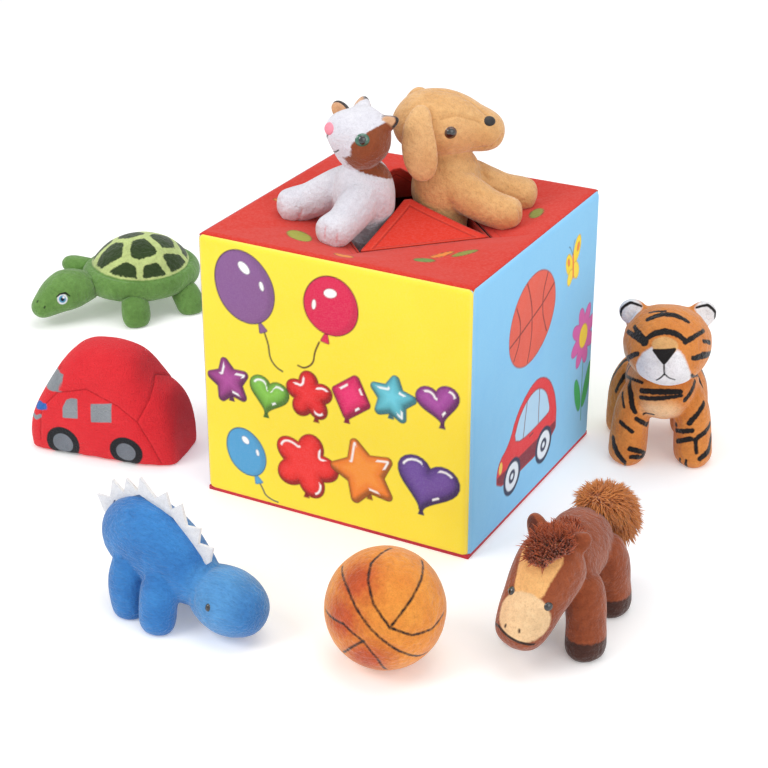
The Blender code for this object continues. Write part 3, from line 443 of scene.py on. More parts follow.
def drawFoil(picture, spot, look):
    # a puffy foil balloon: dark rim, rounded shading and bent white shines
    gap = outlineGap(spot, turnedOutline(look["outline"], look["centre"], look["size"], look["turn"]),
                     look["puff"])
    colour = look["colour"]
    x, y = turnedOutline([(0, -look["knot"])], look["centre"], look["size"], look["turn"])[0]
    low = y - look["puff"]
    ink(picture, outlineGap(spot, [(x - 2, low - 3), (x + 2, low - 3), (x, y + 2)], 0.3),
        tint(*[v * 0.6 for v in colour]))
    ink(picture, gap - 0.55, tint(*[v * 0.42 for v in colour]))
    ink(picture, gap, tint(*[v * 0.68 for v in colour]))
    shift = np.array(spot) - np.array((-1.0, 1.3))
    inner = outlineGap(shift, turnedOutline(look["outline"], look["centre"], look["size"], look["turn"]),
                       look["puff"])
    ink(picture, np.maximum(inner + 1.6, gap + 0.3), tint(*colour), 2.6)
    glow = [min(255, v * 1.14 + 22) for v in colour]
    ink(picture, np.maximum(inner + 5.2, gap + 4.0), tint(*glow), 5.0, 0.55)
    angle = np.degrees(np.arctan2(spot[:, 1] - look["centre"][1], spot[:, 0] - look["centre"][0]))
    for middle, half in look["shines"]:
        away = np.abs((angle - middle + 180) % 360 - 180) - half
        band = np.maximum(np.abs(gap + 2.9) - 0.75, away * 0.35)
        ink(picture, band, (1, 1, 1, 1), 0.8, 0.92)


def frontPicture(spot):
    picture = np.tile(np.array(tint(252, 227, 63)), (len(spot), 1))
    balloons = [
        {"centre": (-63, 157.5), "radii": (21.5, 26.5), "turn": 26, "colour": (137, 92, 146),
         "line": (70, 40, 80),
         "string": [(-49, 130), (-46, 122), (-45.5, 113), (-41, 107), (-36, 105)],
         "shine": [(0.28, 0.50, 3.0, 5.0, 24), (0.62, -0.06, 1.5, 3.2, -10)]},
        {"centre": (0.5, 157.5), "radii": (19.2, 21), "turn": -10, "colour": (220, 40, 84),
         "line": (110, 15, 45),
         "string": [(-8, 132), (-11.5, 124), (-12.5, 116), (-19, 111), (-24, 112)],
         "shine": [(-0.10, 0.46, 4.6, 3.0, 20), (-0.62, -0.10, 1.4, 3.4, 4)]},
        {"centre": (-66, 37), "radii": (14.5, 18.5), "turn": 24, "colour": (84, 162, 212),
         "line": (40, 110, 160),
         "string": [(-57, 17.5), (-54, 12), (-52.5, 8), (-47, 5.5), (-43, 5)],
         "shine": [(0.25, 0.50, 2.2, 3.2, 24), (0.62, -0.06, 1.1, 2.4, -10)]}]
    for balloon in balloons:
        drawBalloon(picture, spot, balloon)
    star, heart, flower = starOutline(5, 0.52), heartOutline(), petalOutline(5, 0.34)
    diamond = [(0, 1.05), (0.86, 0), (0, -1.05), (-0.86, 0)]
    foils = [
        (star, (-78, 88), 14.0, 12, 2.8, (152, 62, 132), 0.60),
        (heart, (-47, 86), 14.0, -10, 1.0, (118, 178, 66), 1.0),
        (flower, (-16, 92), 15.5, 20, 1.0, (216, 34, 36), 0.95),
        (diamond, (15, 98), 13.0, -14, 2.8, (214, 38, 98), 1.05),
        (star, (45, 104), 14.0, -8, 2.8, (92, 180, 196), 0.60),
        (heart, (77, 109), 14.0, 12, 1.0, (150, 66, 146), 1.0),
        (flower, (-20, 40), 22.0, 0, 1.0, (226, 40, 38), 0.95),
        (star, (24, 45), 21.5, 18, 3.2, (238, 128, 44), 0.60),
        (heart, (70, 50), 20.5, -12, 1.4, (94, 64, 138), 1.0)]
    for outline, centre, size, turn, puff, colour, knot in foils:
        drawFoil(picture, spot, {"outline": outline, "centre": centre, "size": size, "turn": turn,
                                 "puff": puff,
                                 "colour": colour, "knot": knot, "shines": [(128, 22), (38, 14), (-60, 12)]})
    return picture


def rightPicture(spot):
    picture = np.tile(np.array(tint(135, 200, 240)), (len(spot), 1))
    line = tint(120, 30, 28)
    # ball
    gap = blobGap(spot, (-14, 137), (36.5, 30), 12)
    ink(picture, gap - 0.5, line)
    ink(picture, gap, tint(226, 92, 72))
    for arc in ([(-50, 130), (-30, 134), (-12, 138), (6, 143), (20, 150)],
                [(-24, 166), (-17, 152), (-14, 136), (-15, 120), (-20, 108)],
                [(-42, 118), (-34, 128), (-33, 142), (-40, 154)],
                [(10, 162), (2, 150), (2, 134), (10, 119)]):
        ink(picture, np.maximum(lineGap(spot, rounded(arc, False)) - 0.6, gap), line)
    # butterfly
    for centre, radii, turn, colour in (((58, 160), (9.5, 5.4), 62, (248, 216, 40)),
                                        ((57, 145), (7, 4.6), -58, (250, 222, 60)),
                                        ((45, 153), (8, 5.2), 112, (248, 216, 40)),
                                        ((47, 143), (5.5, 4), 60, (250, 222, 60)),
                                        ((60, 161), (3, 1.8), 62, (240, 130, 60)),
                                        ((44, 155), (2.6, 1.6), 112, (240, 130, 60))):
        gap = blobGap(spot, centre, radii, turn)
        ink(picture, gap - 0.5, tint(196, 150, 20))
        ink(picture, gap, tint(*colour))
    ink(picture, lineGap(spot, [(51, 158), (52, 150), (52.5, 141)]) - 1.1, tint(236, 120, 50))
    ink(picture, lineGap(spot, [(51, 158), (46, 165), (44, 166)]) - 0.3, tint(40, 60, 90))
    ink(picture, lineGap(spot, [(51, 158), (52, 166), (54, 168)]) - 0.3, tint(40, 60, 90))
    # flower
    ink(picture, lineGap(spot, [(78, 78), (79, 50), (81, 20)]) - 0.55, tint(40, 140, 90))
    for centre, radii, turn in (((71, 44), (15, 4.6), 112), ((89, 46), (17, 5.2), 66)):
        gap = blobGap(spot, centre, radii, turn)
        ink(picture, gap - 0.5, tint(20, 110, 60))
        ink(picture, gap, tint(30, 168, 76))
    petals = [blobGap(spot, (77 + 13 * math.cos(t), 88 + 14 * math.sin(t)), (9.5, 5.2), math.degrees(t))
              for t in [0.3 + i * 2 * math.pi / 8 for i in range(8)]]
    gap = np.minimum.reduce(petals)
    ink(picture, gap - 0.5, tint(150, 50, 120))
    ink(picture, gap, tint(214, 92, 172))
    gap = blobGap(spot, (77, 88), (7.6, 8.6))
    ink(picture, gap - 0.5, tint(190, 140, 20))
    ink(picture, gap, tint(244, 212, 40))
    # car
    shell = outlineGap(spot, rounded([(-60, 32), (-61, 50), (-44, 57), (-32, 77), (-6, 88), (16, 80),
                                      (28, 62), (31, 48), (31, 32)]), 2.0)
    ink(picture, shell - 0.6, tint(120, 16, 24))
    ink(picture, shell, tint(224, 48, 56))
    ink(picture, np.maximum(shell + 0.4, spot[:, 1] - 42), tint(128, 30, 50), 1.2)
    panes = outlineGap(spot, rounded([(-40, 54), (-28, 75), (-6, 82), (12, 74), (20, 58), (18, 54)]), 0.8)
    ink(picture, panes - 0.6, tint(110, 16, 30))
    ink(picture, panes, tint(176, 214, 240))
    for post in ([(-18, 82), (-23, 54)], [(2, 84), (2, 54)]):
        ink(picture, np.maximum(lineGap(spot, post) - 0.5, panes), tint(110, 16, 30))
    ink(picture, lineGap(spot, [(-12, 50), (-6, 50)]) - 0.5, tint(110, 16, 30))
    ink(picture, blobGap(spot, (-57, 47), (2.8, 4.4)), tint(246, 206, 90))
    for wheel in ((-38, 32), (13, 32)):
        ink(picture, blobGap(spot, wheel, (13.5, 13.5)), tint(34, 44, 78))
        ink(picture, blobGap(spot, wheel, (10.2, 10.2)), tint(232, 240, 248))
        ink(picture, blobGap(spot, wheel, (5.0, 5.0)), tint(34, 44, 78))
        ink(picture, blobGap(spot, wheel, (2.2, 2.2)), tint(232, 240, 248))
    return picture


def backPicture(spot):  # the unseen back: green with leaves and dots
    picture = np.tile(np.array(tint(70, 156, 74)), (len(spot), 1))
    for i in range(5):
        for j in range(5):
            centre = (-78 + 39 * i + 9 * (j % 2), 22 + 36 * j)
            if (i + j) % 2:
                gap = blobGap(spot, centre, (10, 4.2), 35 + 50 * (i % 2))
                ink(picture, gap - 0.5, tint(36, 104, 46))
                ink(picture, gap, tint(128, 196, 84))
            else:
                ink(picture, blobGap(spot, centre, (4.6, 4.6)), tint(246, 214, 60))
    return picture


def leftPicture(spot):  # the unseen left side: dark purple with stars
    picture = np.tile(np.array(tint(84, 58, 124)), (len(spot), 1))
    star = starOutline(5, 0.5)
    for i in range(5):
        for j in range(5):
            centre = (-76 + 38 * i + 10 * (j % 2), 20 + 37 * j)
            size = 8.0 if (i + 2 * j) % 3 else 5.0
            colour = ((246, 214, 60), (240, 140, 180), (120, 200, 230))[(i + j) % 3]
            ink(picture, outlineGap(spot, turnedOutline(star, centre, size, 17 * (i - j)), 0.8),
                tint(*colour))
    return picture


def edgeTrim(picture, spot,
             dashes):  # the base's red seam allowance that peeps out below, and faint white lines along the bends
    low = spot[:, 1] - 1.6 + 0.7 * np.sin(spot[:, 0] * 0.9) * np.sin(spot[:, 0] * 0.23 + 1)
    ink(picture, np.maximum(low, -np.sin(spot[:, 0] * 0.34 + 2 * np.sin(spot[:, 0] * 0.05)) * 1.2 - dashes),
        tint(204, 44, 60))
    for far in (97.6 - np.abs(spot[:, 0]), 188.4 - spot[:, 1]):
        ink(picture, np.abs(far) - 0.5, (1, 1, 1, 1), 2.4, 0.10)


boxLook = {"half": 0.1, "height": 0.190, "bend": 0.0060, "bulge": 0.0014, "waves": 0.0007, "columns": 280,
           "rows": 264,
           "thickness": 0.0016, "sag": 0.008, "reach": 0.065}


def bent(along, straight, bend):  # a length along a face that turns into half of a rounded corner
    over = np.clip(np.abs(along) - straight, 0, None) / bend
    flat = np.sign(along) * (np.minimum(np.abs(along), straight) + bend * np.sin(over))
    return flat, bend * (1 - np.cos(over))


def boxSide(name, node, turns, picture, wash, seed):
    look = boxLook
    bend, half, high = look["bend"], look["half"], look["height"]
    straight = half - bend
    quarter = bend * math.pi / 4
    across = np.linspace(-straight - quarter, straight + quarter, look["columns"])
    middle = high / 2
    rise = np.linspace(-(middle - bend) - quarter, (middle - bend) + quarter, look["rows"])
    u, w = np.meshgrid(across, rise)
    u, w = u.ravel(), w.ravel()
    flatU, backU = bent(u, straight, bend)
    flatW, backW = bent(w, middle - bend, bend)
    inner = np.clip(1 - (np.abs(u) / half) ** 4, 0, 1) * np.clip(1 - (np.abs(w) / middle) ** 4, 0, 1)
    ground = np.stack((u, w, np.full(len(u), seed * 0.3)), 1)
    puff = inner * (look["bulge"] + look["waves"] * ripple(ground, 0.07, seed) + 0.0002 * ripple(ground,
        0.012, seed + 1))
    spot = np.stack((u * 1000, (w + middle) * 1000), 1)
    colours = picture(spot)
    edgeTrim(colours, spot, 0.2)
    out = half - backU - backW + puff
    c, s = [(1, 0), (0, 1), (-1, 0), (0, -1)][turns]
    where = np.stack((flatU * c + out * s, flatU * s - out * c, flatW + middle), 1)
    shape = bmesh.new()
    verts = [shape.verts.new(p) for p in where]
    columns, rows = look["columns"], look["rows"]
    for j in range(rows - 1):
        for i in range(columns - 1):
            k = j * columns + i
            shape.faces.new((verts[k], verts[k + 1], verts[k + columns + 1], verts[k + columns]))
    border = [e for e in shape.edges if e.is_boundary]
    grown = bmesh.ops.extrude_edge_only(shape, edges=border)["geom"]
    inward = Vector((-s, c, 0)) * look["thickness"]
    fresh = [g for g in grown if isinstance(g, bmesh.types.BMVert)]
    centre = Vector((half * s, -half * c, middle))
    for vert in fresh:
        vert.co = vert.co + inward + (centre - vert.co).normalized() * 0.0006
    rim = [g for g in grown if isinstance(g, bmesh.types.BMEdge) and g.is_boundary]
    bmesh.ops.contextual_create(shape, geom=rim)
    bmesh.ops.recalc_face_normals(shape, faces=shape.faces)
    piece = newPiece(name, shape)
    rest = len(piece.data.vertices) - len(colours)
    colours = np.vstack((colours, np.tile(colours[0], (rest, 1))))
    paintColours(piece, "print", colours)
    settle(piece, "root", [node], cloth(name + "Cloth", {"wash": wash}, True))
    return piece


boxSide("frontCover", "front_panel", 0, frontPicture, tint(246, 208, 120), 11)
boxSide("rightCover", "right_panel", 1, rightPicture, tint(150, 190, 240), 12)
boxSide("backCover", "back_panel", 2, backPicture, tint(150, 210, 150), 13)
boxSide("leftCover", "left_panel", 3, leftPicture, tint(170, 150, 210), 14)
print("sides done")


def topHeight(share):
    return boxLook["height"] - boxLook["sag"] * (1 - share) ** 1.3


def boxTop():
    look = {"spokes": 560, "rings": 56, "wrinkles": 0.0008}
    bend, half, reach = boxLook["bend"], boxLook["half"], boxLook["reach"]
    turns = 2 * math.pi * np.arange(look["spokes"]) / look["spokes"]
    shares = np.linspace(0, 1, look["rings"])
    t, share = np.meshgrid(turns, shares)
    t, share = t.ravel(), share.ravel()
    cosine, sine = np.abs(np.cos(t)), np.abs(np.sin(t))
    opening = reach / (cosine + sine)
    rim = (half - bend + bend * math.sin(math.pi / 4)) / np.maximum(cosine, sine)
    far = opening + (rim - opening) * share
    x, y = far * np.cos(t), far * np.sin(t)
    edge = np.maximum(np.abs(x), np.abs(y)) - (half - bend)
    drop = bend - np.sqrt(np.maximum(bend ** 2 - np.clip(edge, 0, bend) ** 2, 0))
    flat = np.stack((x, y, np.zeros(len(x))), 1)
    fade = np.sin(np.pi * np.clip(share, 0, 1)) ** 0.7
    pull = np.cos(4 * t) * 0.0012 * (1 - share) * fade
    z = topHeight(share) - drop + fade * look["wrinkles"] * (ripple(flat, 0.05, 21) + 0.35 * ripple(flat,
        0.014, 22)) - pull
    z = z - 0.0002
    shape = bmesh.new()
    verts = [shape.verts.new(p) for p in zip(x, y, z)]
    spokes = look["spokes"]
    for j in range(look["rings"] - 1):
        for i in range(spokes):
            a, b = j * spokes + i, j * spokes + (i + 1) % spokes
            shape.faces.new((verts[a], verts[a + spokes], verts[b + spokes], verts[b]))
    bmesh.ops.recalc_face_normals(shape, faces=shape.faces)
    piece = newPiece("topCover", shape)
    if piece.data.polygons[0].normal.z < 0:
        piece.data.flip_normals()
    spot = np.stack((x, y), 1) * 1000
    picture = np.tile(np.array(tint(206, 44, 26)), (len(spot), 1))
    for centre, radii, turn, colour in (((48, -65), (6.5, 4), 20, (104, 140, 60)),
                                        ((53, -50), (8.5, 2.6), 60, (226, 132, 40)),
                                        ((66, -44), (9, 3.2), 55, (132, 140, 52)),
                                        ((33, 75), (8, 5), 30, (92, 150, 60)),
                                        ((-41, -68), (12, 6.5), -35, (158, 160, 44)),
                                        ((-76, 30), (8, 4), 70, (104, 140, 60)),
                                        ((-60, 70), (6, 6), 0, (226, 132, 40)),
                                        ((78, 40), (9, 4), 100, (132, 140, 52)),
                                        ((-80, -20), (8, 3), 15, (226, 132, 40)),
                                        ((5, 84), (8, 3.4), 160, (132, 140, 52)),
                                        ((2, -86), (7, 3.2), 170, (226, 132, 40))):
        gap = blobGap(spot, centre, radii, turn)
        ink(picture, gap - 0.5, tint(70, 50, 20))
        ink(picture, gap, tint(*colour))
    hem = np.abs(spot[:, 0]) + np.abs(spot[:, 1]) - 65
    ink(picture, np.abs(hem - 6.0) - 0.35, tint(150, 26, 16), 0.7, 0.7)
    # darker red along the opening's edge: painted shadow of the hem's thickness
    ink(picture, hem - 0.6, tint(170, 30, 18), 1.5, 0.6)
    paintColours(piece, "print", picture)
    step = piece.modifiers.new("cloth", "SOLIDIFY")
    step.thickness = boxLook["thickness"]
    step.offset = -1
    applySteps(piece)
    settle(piece, "root", ["top_panel"], cloth("topCloth", {"wash": tint(236, 150, 120)}, True))


boxTop()


def flapPiece(name, node, direction, lift, curl, seed):
    look = {"rows": 70, "columns": 90, "thickness": 0.0013, "corner": 0.004}
    reach = boxLook["reach"] / math.sqrt(2) - 0.0014
    slant = reach - 0.0012
    widest = boxLook["reach"] / math.sqrt(2) - look["corner"]
    along = np.linspace(0.0002, slant * 0.965, look["rows"])
    side = np.linspace(-1, 1, look["columns"])
    a, b = np.meshgrid(along, side, indexing="ij")
    a, b = a.ravel(), b.ravel()
    wide = np.minimum(widest, slant - a) + 0.0009
    x = b * wide
    flat = np.stack((x, a, np.zeros(len(a))), 1)
    edge = np.minimum((wide - np.abs(x)) / math.sqrt(2), a + 0.004)
    z = curl * (a / slant) ** 2 + 0.0008 * ripple(flat, 0.03, seed) * (a / slant) + 0.0004 * (edge < 0.0055)
    shape = bmesh.new()
    verts = [shape.verts.new(p) for p in zip(x, a, z)]
    columns = look["columns"]
    for j in range(look["rows"] - 1):
        for i in range(columns - 1):
            k = j * columns + i
            shape.faces.new((verts[k], verts[k + 1], verts[k + columns + 1], verts[k + columns]))
    turn = math.radians(direction)
    hinge = Matrix.Translation((reach * math.cos(turn), reach * math.sin(turn), topHeight(0) - 0.001))
    place = hinge @ Matrix.Rotation(turn + math.pi / 2, 4, "Z") @ Matrix.Rotation(math.radians(lift), 4, "X")
    bmesh.ops.transform(shape, matrix=place, verts=shape.verts)
    bmesh.ops.recalc_face_normals(shape, faces=shape.faces)
    piece = newPiece(name, shape)
    picture = np.tile(np.array(tint(216, 50, 30)), (len(a), 1))
    ink(picture, np.abs(edge * 1000 - 5.6) - 0.35, tint(150, 26, 16), 0.8, 0.8)
    # a lighter line on the hem beside the stitch: painted highlight on the hem's raised fold
    ink(picture, np.abs(edge * 1000 - 4.6) - 0.2, tint(236, 96, 70), 0.8, 0.5)
    # darker red along the flap's edges: painted shadow of the hem's thickness
    ink(picture, edge * 1000 - 0.8, tint(170, 32, 20), 1.2, 0.5)
    paintColours(piece, "print", picture)
    step = piece.modifiers.new("cloth", "SOLIDIFY")
    step.thickness = look["thickness"]
    step.offset = 0
    applySteps(piece)
    settle(piece, node, [node], cloth(name + "Cloth", {"wash": tint(236, 150, 120)}, True))


flapPiece("nearFlap", "near_flap", -45, 20, 0.003, 31)
flapPiece("farFlap", "far_flap", 135, 45, 0.002, 32)
flapPiece("catFlap", "cat_flap", -135, -92, 0.0, 33)
flapPiece("dogFlap", "dog_flap", 45, -92, 0.0, 34)
print("top and flaps done")


def boxBase():
    look = {"size": 0.1978, "thickness": 0.0030, "edge": 0.0012}
    bpy.ops.object.select_all(action="DESELECT")
    bpy.ops.mesh.primitive_cube_add(size=1, location=(0, 0, look["thickness"] / 2))
    base = bpy.context.active_object
    base.name = "baseCover"
    bpy.ops.object.mode_set(mode="EDIT")
    bpy.ops.transform.resize(value=(look["size"], look["size"], look["thickness"]))
    bpy.ops.mesh.subdivide(number_cuts=30)
    bpy.ops.object.mode_set(mode="OBJECT")
    step = base.modifiers.new("edge", "BEVEL")
    step.width = look["edge"]
    step.segments = 3
    applySteps(base)
    only(base)
    bpy.ops.object.transform_apply(location=True, rotation=True, scale=True)
    settle(base, "root", ["base_panel"],
           cloth("baseCloth", {"colour": tint(204, 44, 60), "shade": tint(176, 34, 50)}))


boxBase()


def foamFinish(name):
    f = Finish(name, 0.95)
    cells = f.node("ShaderNodeTexVoronoi", None, {"Vector": f.spot, "Scale": 900.0})
    aged = f.noise(40, 3.0)
    colour = f.mix(((aged - 0.4) * 2).clamp(), tint(238, 234, 220), tint(222, 214, 190))
    colour = f.mix(cells.clamp() * 0.5, colour, tint(180, 172, 150))
    return f.finish(colour, f.bump(cells, 0.5, 0.0006))


foamLook = foamFinish("foamCells")
for side in ("front", "right", "back", "left", "base"):
    board = cadCopy(side + "Board", [side + "_foam"])
    step = board.modifiers.new("edge", "BEVEL")
    step.width = 0.0012
    step.segments = 3
    step.limit_method = "ANGLE"
    applySteps(board)
    settle(board, "root", [side + "_foam"], foamLook)

liner = cadCopy("liner", ["lining"])
shape = bmesh.new()
shape.from_mesh(liner.data)
bmesh.ops.subdivide_edges(shape, edges=shape.edges, cuts=14, use_grid_fill=True)
shape.to_mesh(liner.data)
shape.free()
inside = spots(liner)
moveTo(liner, inside + outwards(liner) * (ripple(inside, 0.03, 41)[:, None] * 0.00012))
settle(liner, "root", ["lining"],
       cloth("liningCloth", {"colour": tint(150, 40, 36), "shade": tint(128, 30, 28)}), smooth=False)
print("box done")


# Toys
def toyNodes(*starts):
    found = [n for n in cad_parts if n.startswith(starts) and "flap" not in n and "sound" not in n]
    return sorted(found)


def ballGap(own, centre, radii):  # from each place to an egg shape, less than nought inside it
    away = (own - np.array(centre)) / radii
    reach = np.linalg.norm(away, axis=1)
    slope = np.linalg.norm(away / radii, axis=1)
    return reach * (reach - 1) / np.maximum(slope, 1e-6)


def mirrored(lines):
    return [[(x, -y, *rest) for x, y, *rest in line] for line in lines]


def drawn(skin, toy, own, lines):  # from each place to the nearest of some lines laid on the skin
    best = np.full(len(own), 1e3)
    for line in lines:
        best = np.minimum(best, lineGap(own, snapLine(skin, toy, line)))
    return best


def bead(name, toy, skin, spot, radii, sink, finish, tilt=0.0):  # a domed eye or nose that lies on the skin
    bpy.ops.object.select_all(action="DESELECT")
    bpy.ops.mesh.primitive_uv_sphere_add(segments=32, ring_count=20, radius=1)
    made = bpy.context.active_object
    made.name = name
    _, hit, normal, _ = skin.closest_point_on_mesh(Vector(toyWorld(spot, toy)[0]))
    facing = normal.to_track_quat("Z", "Y").to_matrix().to_4x4()
    place = Matrix.Translation(hit - normal * sink / 1000) @ facing @ Matrix.Rotation(math.radians(tilt), 4,
        "Z")
    made.matrix_world = Matrix.Identity(4)
    made.data.transform(place @ Matrix.Diagonal((*[r / 1000 for r in radii], 1)))
    settle(made, toy, [], finish)
    return made


def groove(skin, toy, lines, width, depth):  # a sewn seam: the skin is drawn in along a line
    where = spots(skin)
    near = drawn(skin, toy, toyView(where, toy), lines)
    pull = np.exp(-(np.maximum(near, 0) / width) ** 2) * depth / 1000
    moveTo(skin, where - outwards(skin) * pull[:, None])
    return near


def locks(name, toy, skin, region, look, finish):  # tapered locks of fur set on part of a skin
    pick = np.random.default_rng(look["seed"])
    faces = skin.data.polygons
    middles = np.array([tuple(f.center) for f in faces])
    chosen = np.flatnonzero(region(toyView(middles, toy)) < 0)
    chosen = pick.choice(chosen, min(look["count"], len(chosen)), replace=False)
    lean = toyWorld(look["lean"], toy)[0] - toyWorld((0, 0, 0), toy)[0]
    points, sides = [], []
    for face in chosen:
        out = np.array(faces[int(face)].normal)
        way = out + lean * 1000 + pick.normal(size=3) * look["spread"]
        way /= np.linalg.norm(way)
        across = np.cross(way, (0.3, 0.2, 0.93))
        across /= np.linalg.norm(across)
        over = np.cross(way, across)
        length = look["length"] * pick.uniform(0.55, 1.0)
        start = len(points)
        for share, wide in ((0, 0.9), (0.45, 1.0), (0.8, 0.55)):
            sag = np.array((0, 0, look["droop"] * share ** 2 * length))
            middle = middles[face] + way * (share * length - 0.0008) - sag
            for k in range(5):
                turn = 2 * math.pi * k / 5
                side = across * math.cos(turn) + over * math.sin(turn)
                points.append(middle + side * look["wide"] * wide)
        points.append(middles[face] + way * length - np.array((0, 0, look["droop"] * length)))
        sides.append([start + k for k in (4, 3, 2, 1, 0)])
        for ring in (0, 5):
            for k in range(5):
                a, b = start + ring + k, start + ring + (k + 1) % 5
                sides.append([a, b, b + 5, a + 5])
        sides += [[start + 10 + k, start + 10 + (k + 1) % 5, start + 15] for k in range(5)]
    shape = bmesh.new()
    verts = [shape.verts.new(p) for p in points]
    for side in sides:
        shape.faces.new([verts[k] for k in side])
    bmesh.ops.recalc_face_normals(shape, faces=shape.faces)
    return settle(newPiece(name, shape), toy, [], finish)


softLook = {"swell": 0.0011, "grain": 0.0009, "ease": 12, "lumps": 0.00022, "fill": 0.8}
black = plain("glossyBlack", tint(14, 13, 14), 0.10, 0.9)
inkBlack = tint(26, 22, 22)


def catToy():
    skin = stuffedSkin("cat", toyNodes("cat_"), "cat", softLook)
    toes = [[(40, 35, 16, 0.6), (42, 36, 8, 0.6)], [(34, 41, 13, 0.6), (35, 42, 6, 0.6)],
            [(43, -15, 10, 0.6), (44, -15, 3, 0.6)], [(42, -8, 12, 0.6), (44, -8, 5, 0.6)]]
    groove(skin, "cat", toes, 1.0, 0.6)
    own = toyView(spots(skin), "cat")
    head = {"x": -10, "y": 3, "turn": 12}
    c, sn = math.cos(math.radians(head["turn"])), math.sin(math.radians(head["turn"]))

    def headView(x, y):
        return (x - head["x"]) * c + (y - head["y"]) * sn, (y - head["y"]) * c - (x - head["x"]) * sn

    ahead, aside = headView(own[:, 0], own[:, 1])
    edge = seen(skin, "cat", [(690, 225), (650, 270), (540, 330), (500, 385), (440, 400), (425, 430),
                              (420, 500), (370, 500),
                              (400, 555), (500, 610), (600, 640)])
    cheek = [(-16, 84)] + [(headView(x, y)[0], z) for x, y, z in edge] + [(-5, 33), (-22, 31), (-30, 45),
        (-30, 84)]
    paint(skin, "patch", np.maximum(outlineGap(np.stack((ahead, own[:, 2]), 1), cheek), 5 - np.abs(aside)))
    out = outwards(skin)
    turn = math.radians(places["cat"][3] + 12)
    facing = out @ np.array((math.cos(turn), math.sin(turn), 0.1))
    ears = np.minimum(lineGap(own, [(-3, 14, 71, 5), (-14.5, 22.5, 79, 6)]),
                      lineGap(own, [(1.5, -7, 74, 5), (-5, -18.5, 82, 6)]))
    paint(skin, "earFront", np.maximum(ears, (0.15 - facing) * 3))
    paint(skin, "earBack", np.maximum(ears, (facing - 0.15) * 3))
    paint(skin, "toes", drawn(skin, "cat", own, toes))
    mouth = [seen(skin, "cat", [(240, 370, 0.5), (250, 420, 0.6), (285, 450, 0.6), (340, 455, 0.5)]),
             seen(skin, "cat", [(268, 345, 0.5), (275, 440, 0.6)])]
    paint(skin, "mouth", drawn(skin, "cat", own, mouth))
    skin.data.materials[0] = plush(
        "catPlush", {"colour": tint(226, 225, 233), "shade": tint(214, 212, 222), "light": 0.16,
                     "depth": 0.2},
        [("patch", tint(142, 74, 42), 0.9, 2.2), ("earFront", tint(222, 170, 128), 0.9, 1.0),
         ("earBack", tint(44, 34, 32), 0.9, 1.0),
         ("toes", tint(226, 188, 194), 0.9, 0.4), ("mouth", inkBlack, 0.6, 0.3)])
    bead("catFarEarBack", "cat", skin, (14.5, -7, 78), (6.8, 2.2, 8.0), -0.6,
         plush("catEarDark", {"colour": tint(52, 40, 38), "shade": tint(38, 30, 28)}))
    bead("catFarEar", "cat", skin, (16.0, -5.5, 78), (6.0, 2.4, 7.2), -0.4,
         plush("catEarTan", {"colour": tint(214, 160, 118), "shade": tint(196, 142, 100)}))
    green = plain("eyeGreen", tint(38, 96, 74), 0.12, 0.9)
    x, y, z = seen(skin, "cat", [(505, 385)])[0]
    far = 2 * headView(x, y)[1]
    for side, spot in (("Left", (x, y, z)), ("Right", (x + far * sn, y - far * c, z))):
        bead("catEyeRing" + side, "cat", skin, spot, (5.0, 4.3, 2.2), 0.9, green)
        bead("catPupil" + side, "cat", skin, spot, (3.3, 3.6, 2.6), 0.8, black)
    bead("catNose", "cat", skin, seen(skin, "cat", [(270, 305)])[0], (4.9, 4.0, 3.0), 0.9,
         plain("nosePink", tint(238, 142, 160), 0.6))


def dogToy():
    skin = stuffedSkin("dog", [n for n in toyNodes("dog_") if "ear" not in n], "dog",
                       softLook)
    seams = [[(-6, 5, 85, 0.3), (8, 4, 84, 0.3), (20, 1, 78, 0.3), (28, -2, 71, 0.3)],
             [(40, -5, 57, 0.3), (32, -9, 50, 0.3), (20, -11, 45, 0.3)],
             [(-2, -14, 72, 0.3), (8, -12, 74, 0.3), (24, -9, 69, 0.3)],
             [(50, -30, 16, 0.3), (53, -30, 6, 0.3)], [(51, -23, 16, 0.3), (54, -23, 6, 0.3)],
             [(62, 7, 16, 0.3), (65, 7, 6, 0.3)], [(62, 13, 16, 0.3), (65, 13, 6, 0.3)],
             [(22, 0, 40, 0.3), (30, 1, 27, 0.3)]]
    groove(skin, "dog", seams, 1.1, 0.7)
    own = toyView(spots(skin), "dog")
    paint(skin, "seam", drawn(skin, "dog", own, seams))
    look = {"colour": tint(228, 178, 120), "shade": tint(214, 160, 100)}
    skin.data.materials[0] = plush("dogPlush", look, [("seam", tint(208, 152, 94), 1.4, 0.4)])
    earPlush = plush("earPlush", {"colour": tint(232, 184, 128), "shade": tint(216, 162, 104)})
    for side in ("left", "right"):
        ear = stuffedSkin("dog", ["dog_ear_" + side], "dog", dict(softLook, swell=0.0006))
        ear.name = "dogEar" + side.title()
        ear.data.materials[0] = earPlush
    brown = plain("eyeBrown", tint(86, 46, 22), 0.12, 0.9)
    for side, spot in (("Right", seen(skin, "dog", [(1125, 335)])[0]), ("Left", (2, 26, 63))):
        bead("dogEyeRing" + side, "dog", skin, spot, (4.3, 4.3, 2.0), 0.8, brown)
        bead("dogPupil" + side, "dog", skin, spot, (3.6, 3.6, 2.7), 0.8, black)
    bead("dogNose", "dog", skin, seen(skin, "dog", [(1400, 250)])[0], (4.7, 3.7, 3.0), 1.3,
         plain("noseBlack", tint(22, 20, 20), 0.5))


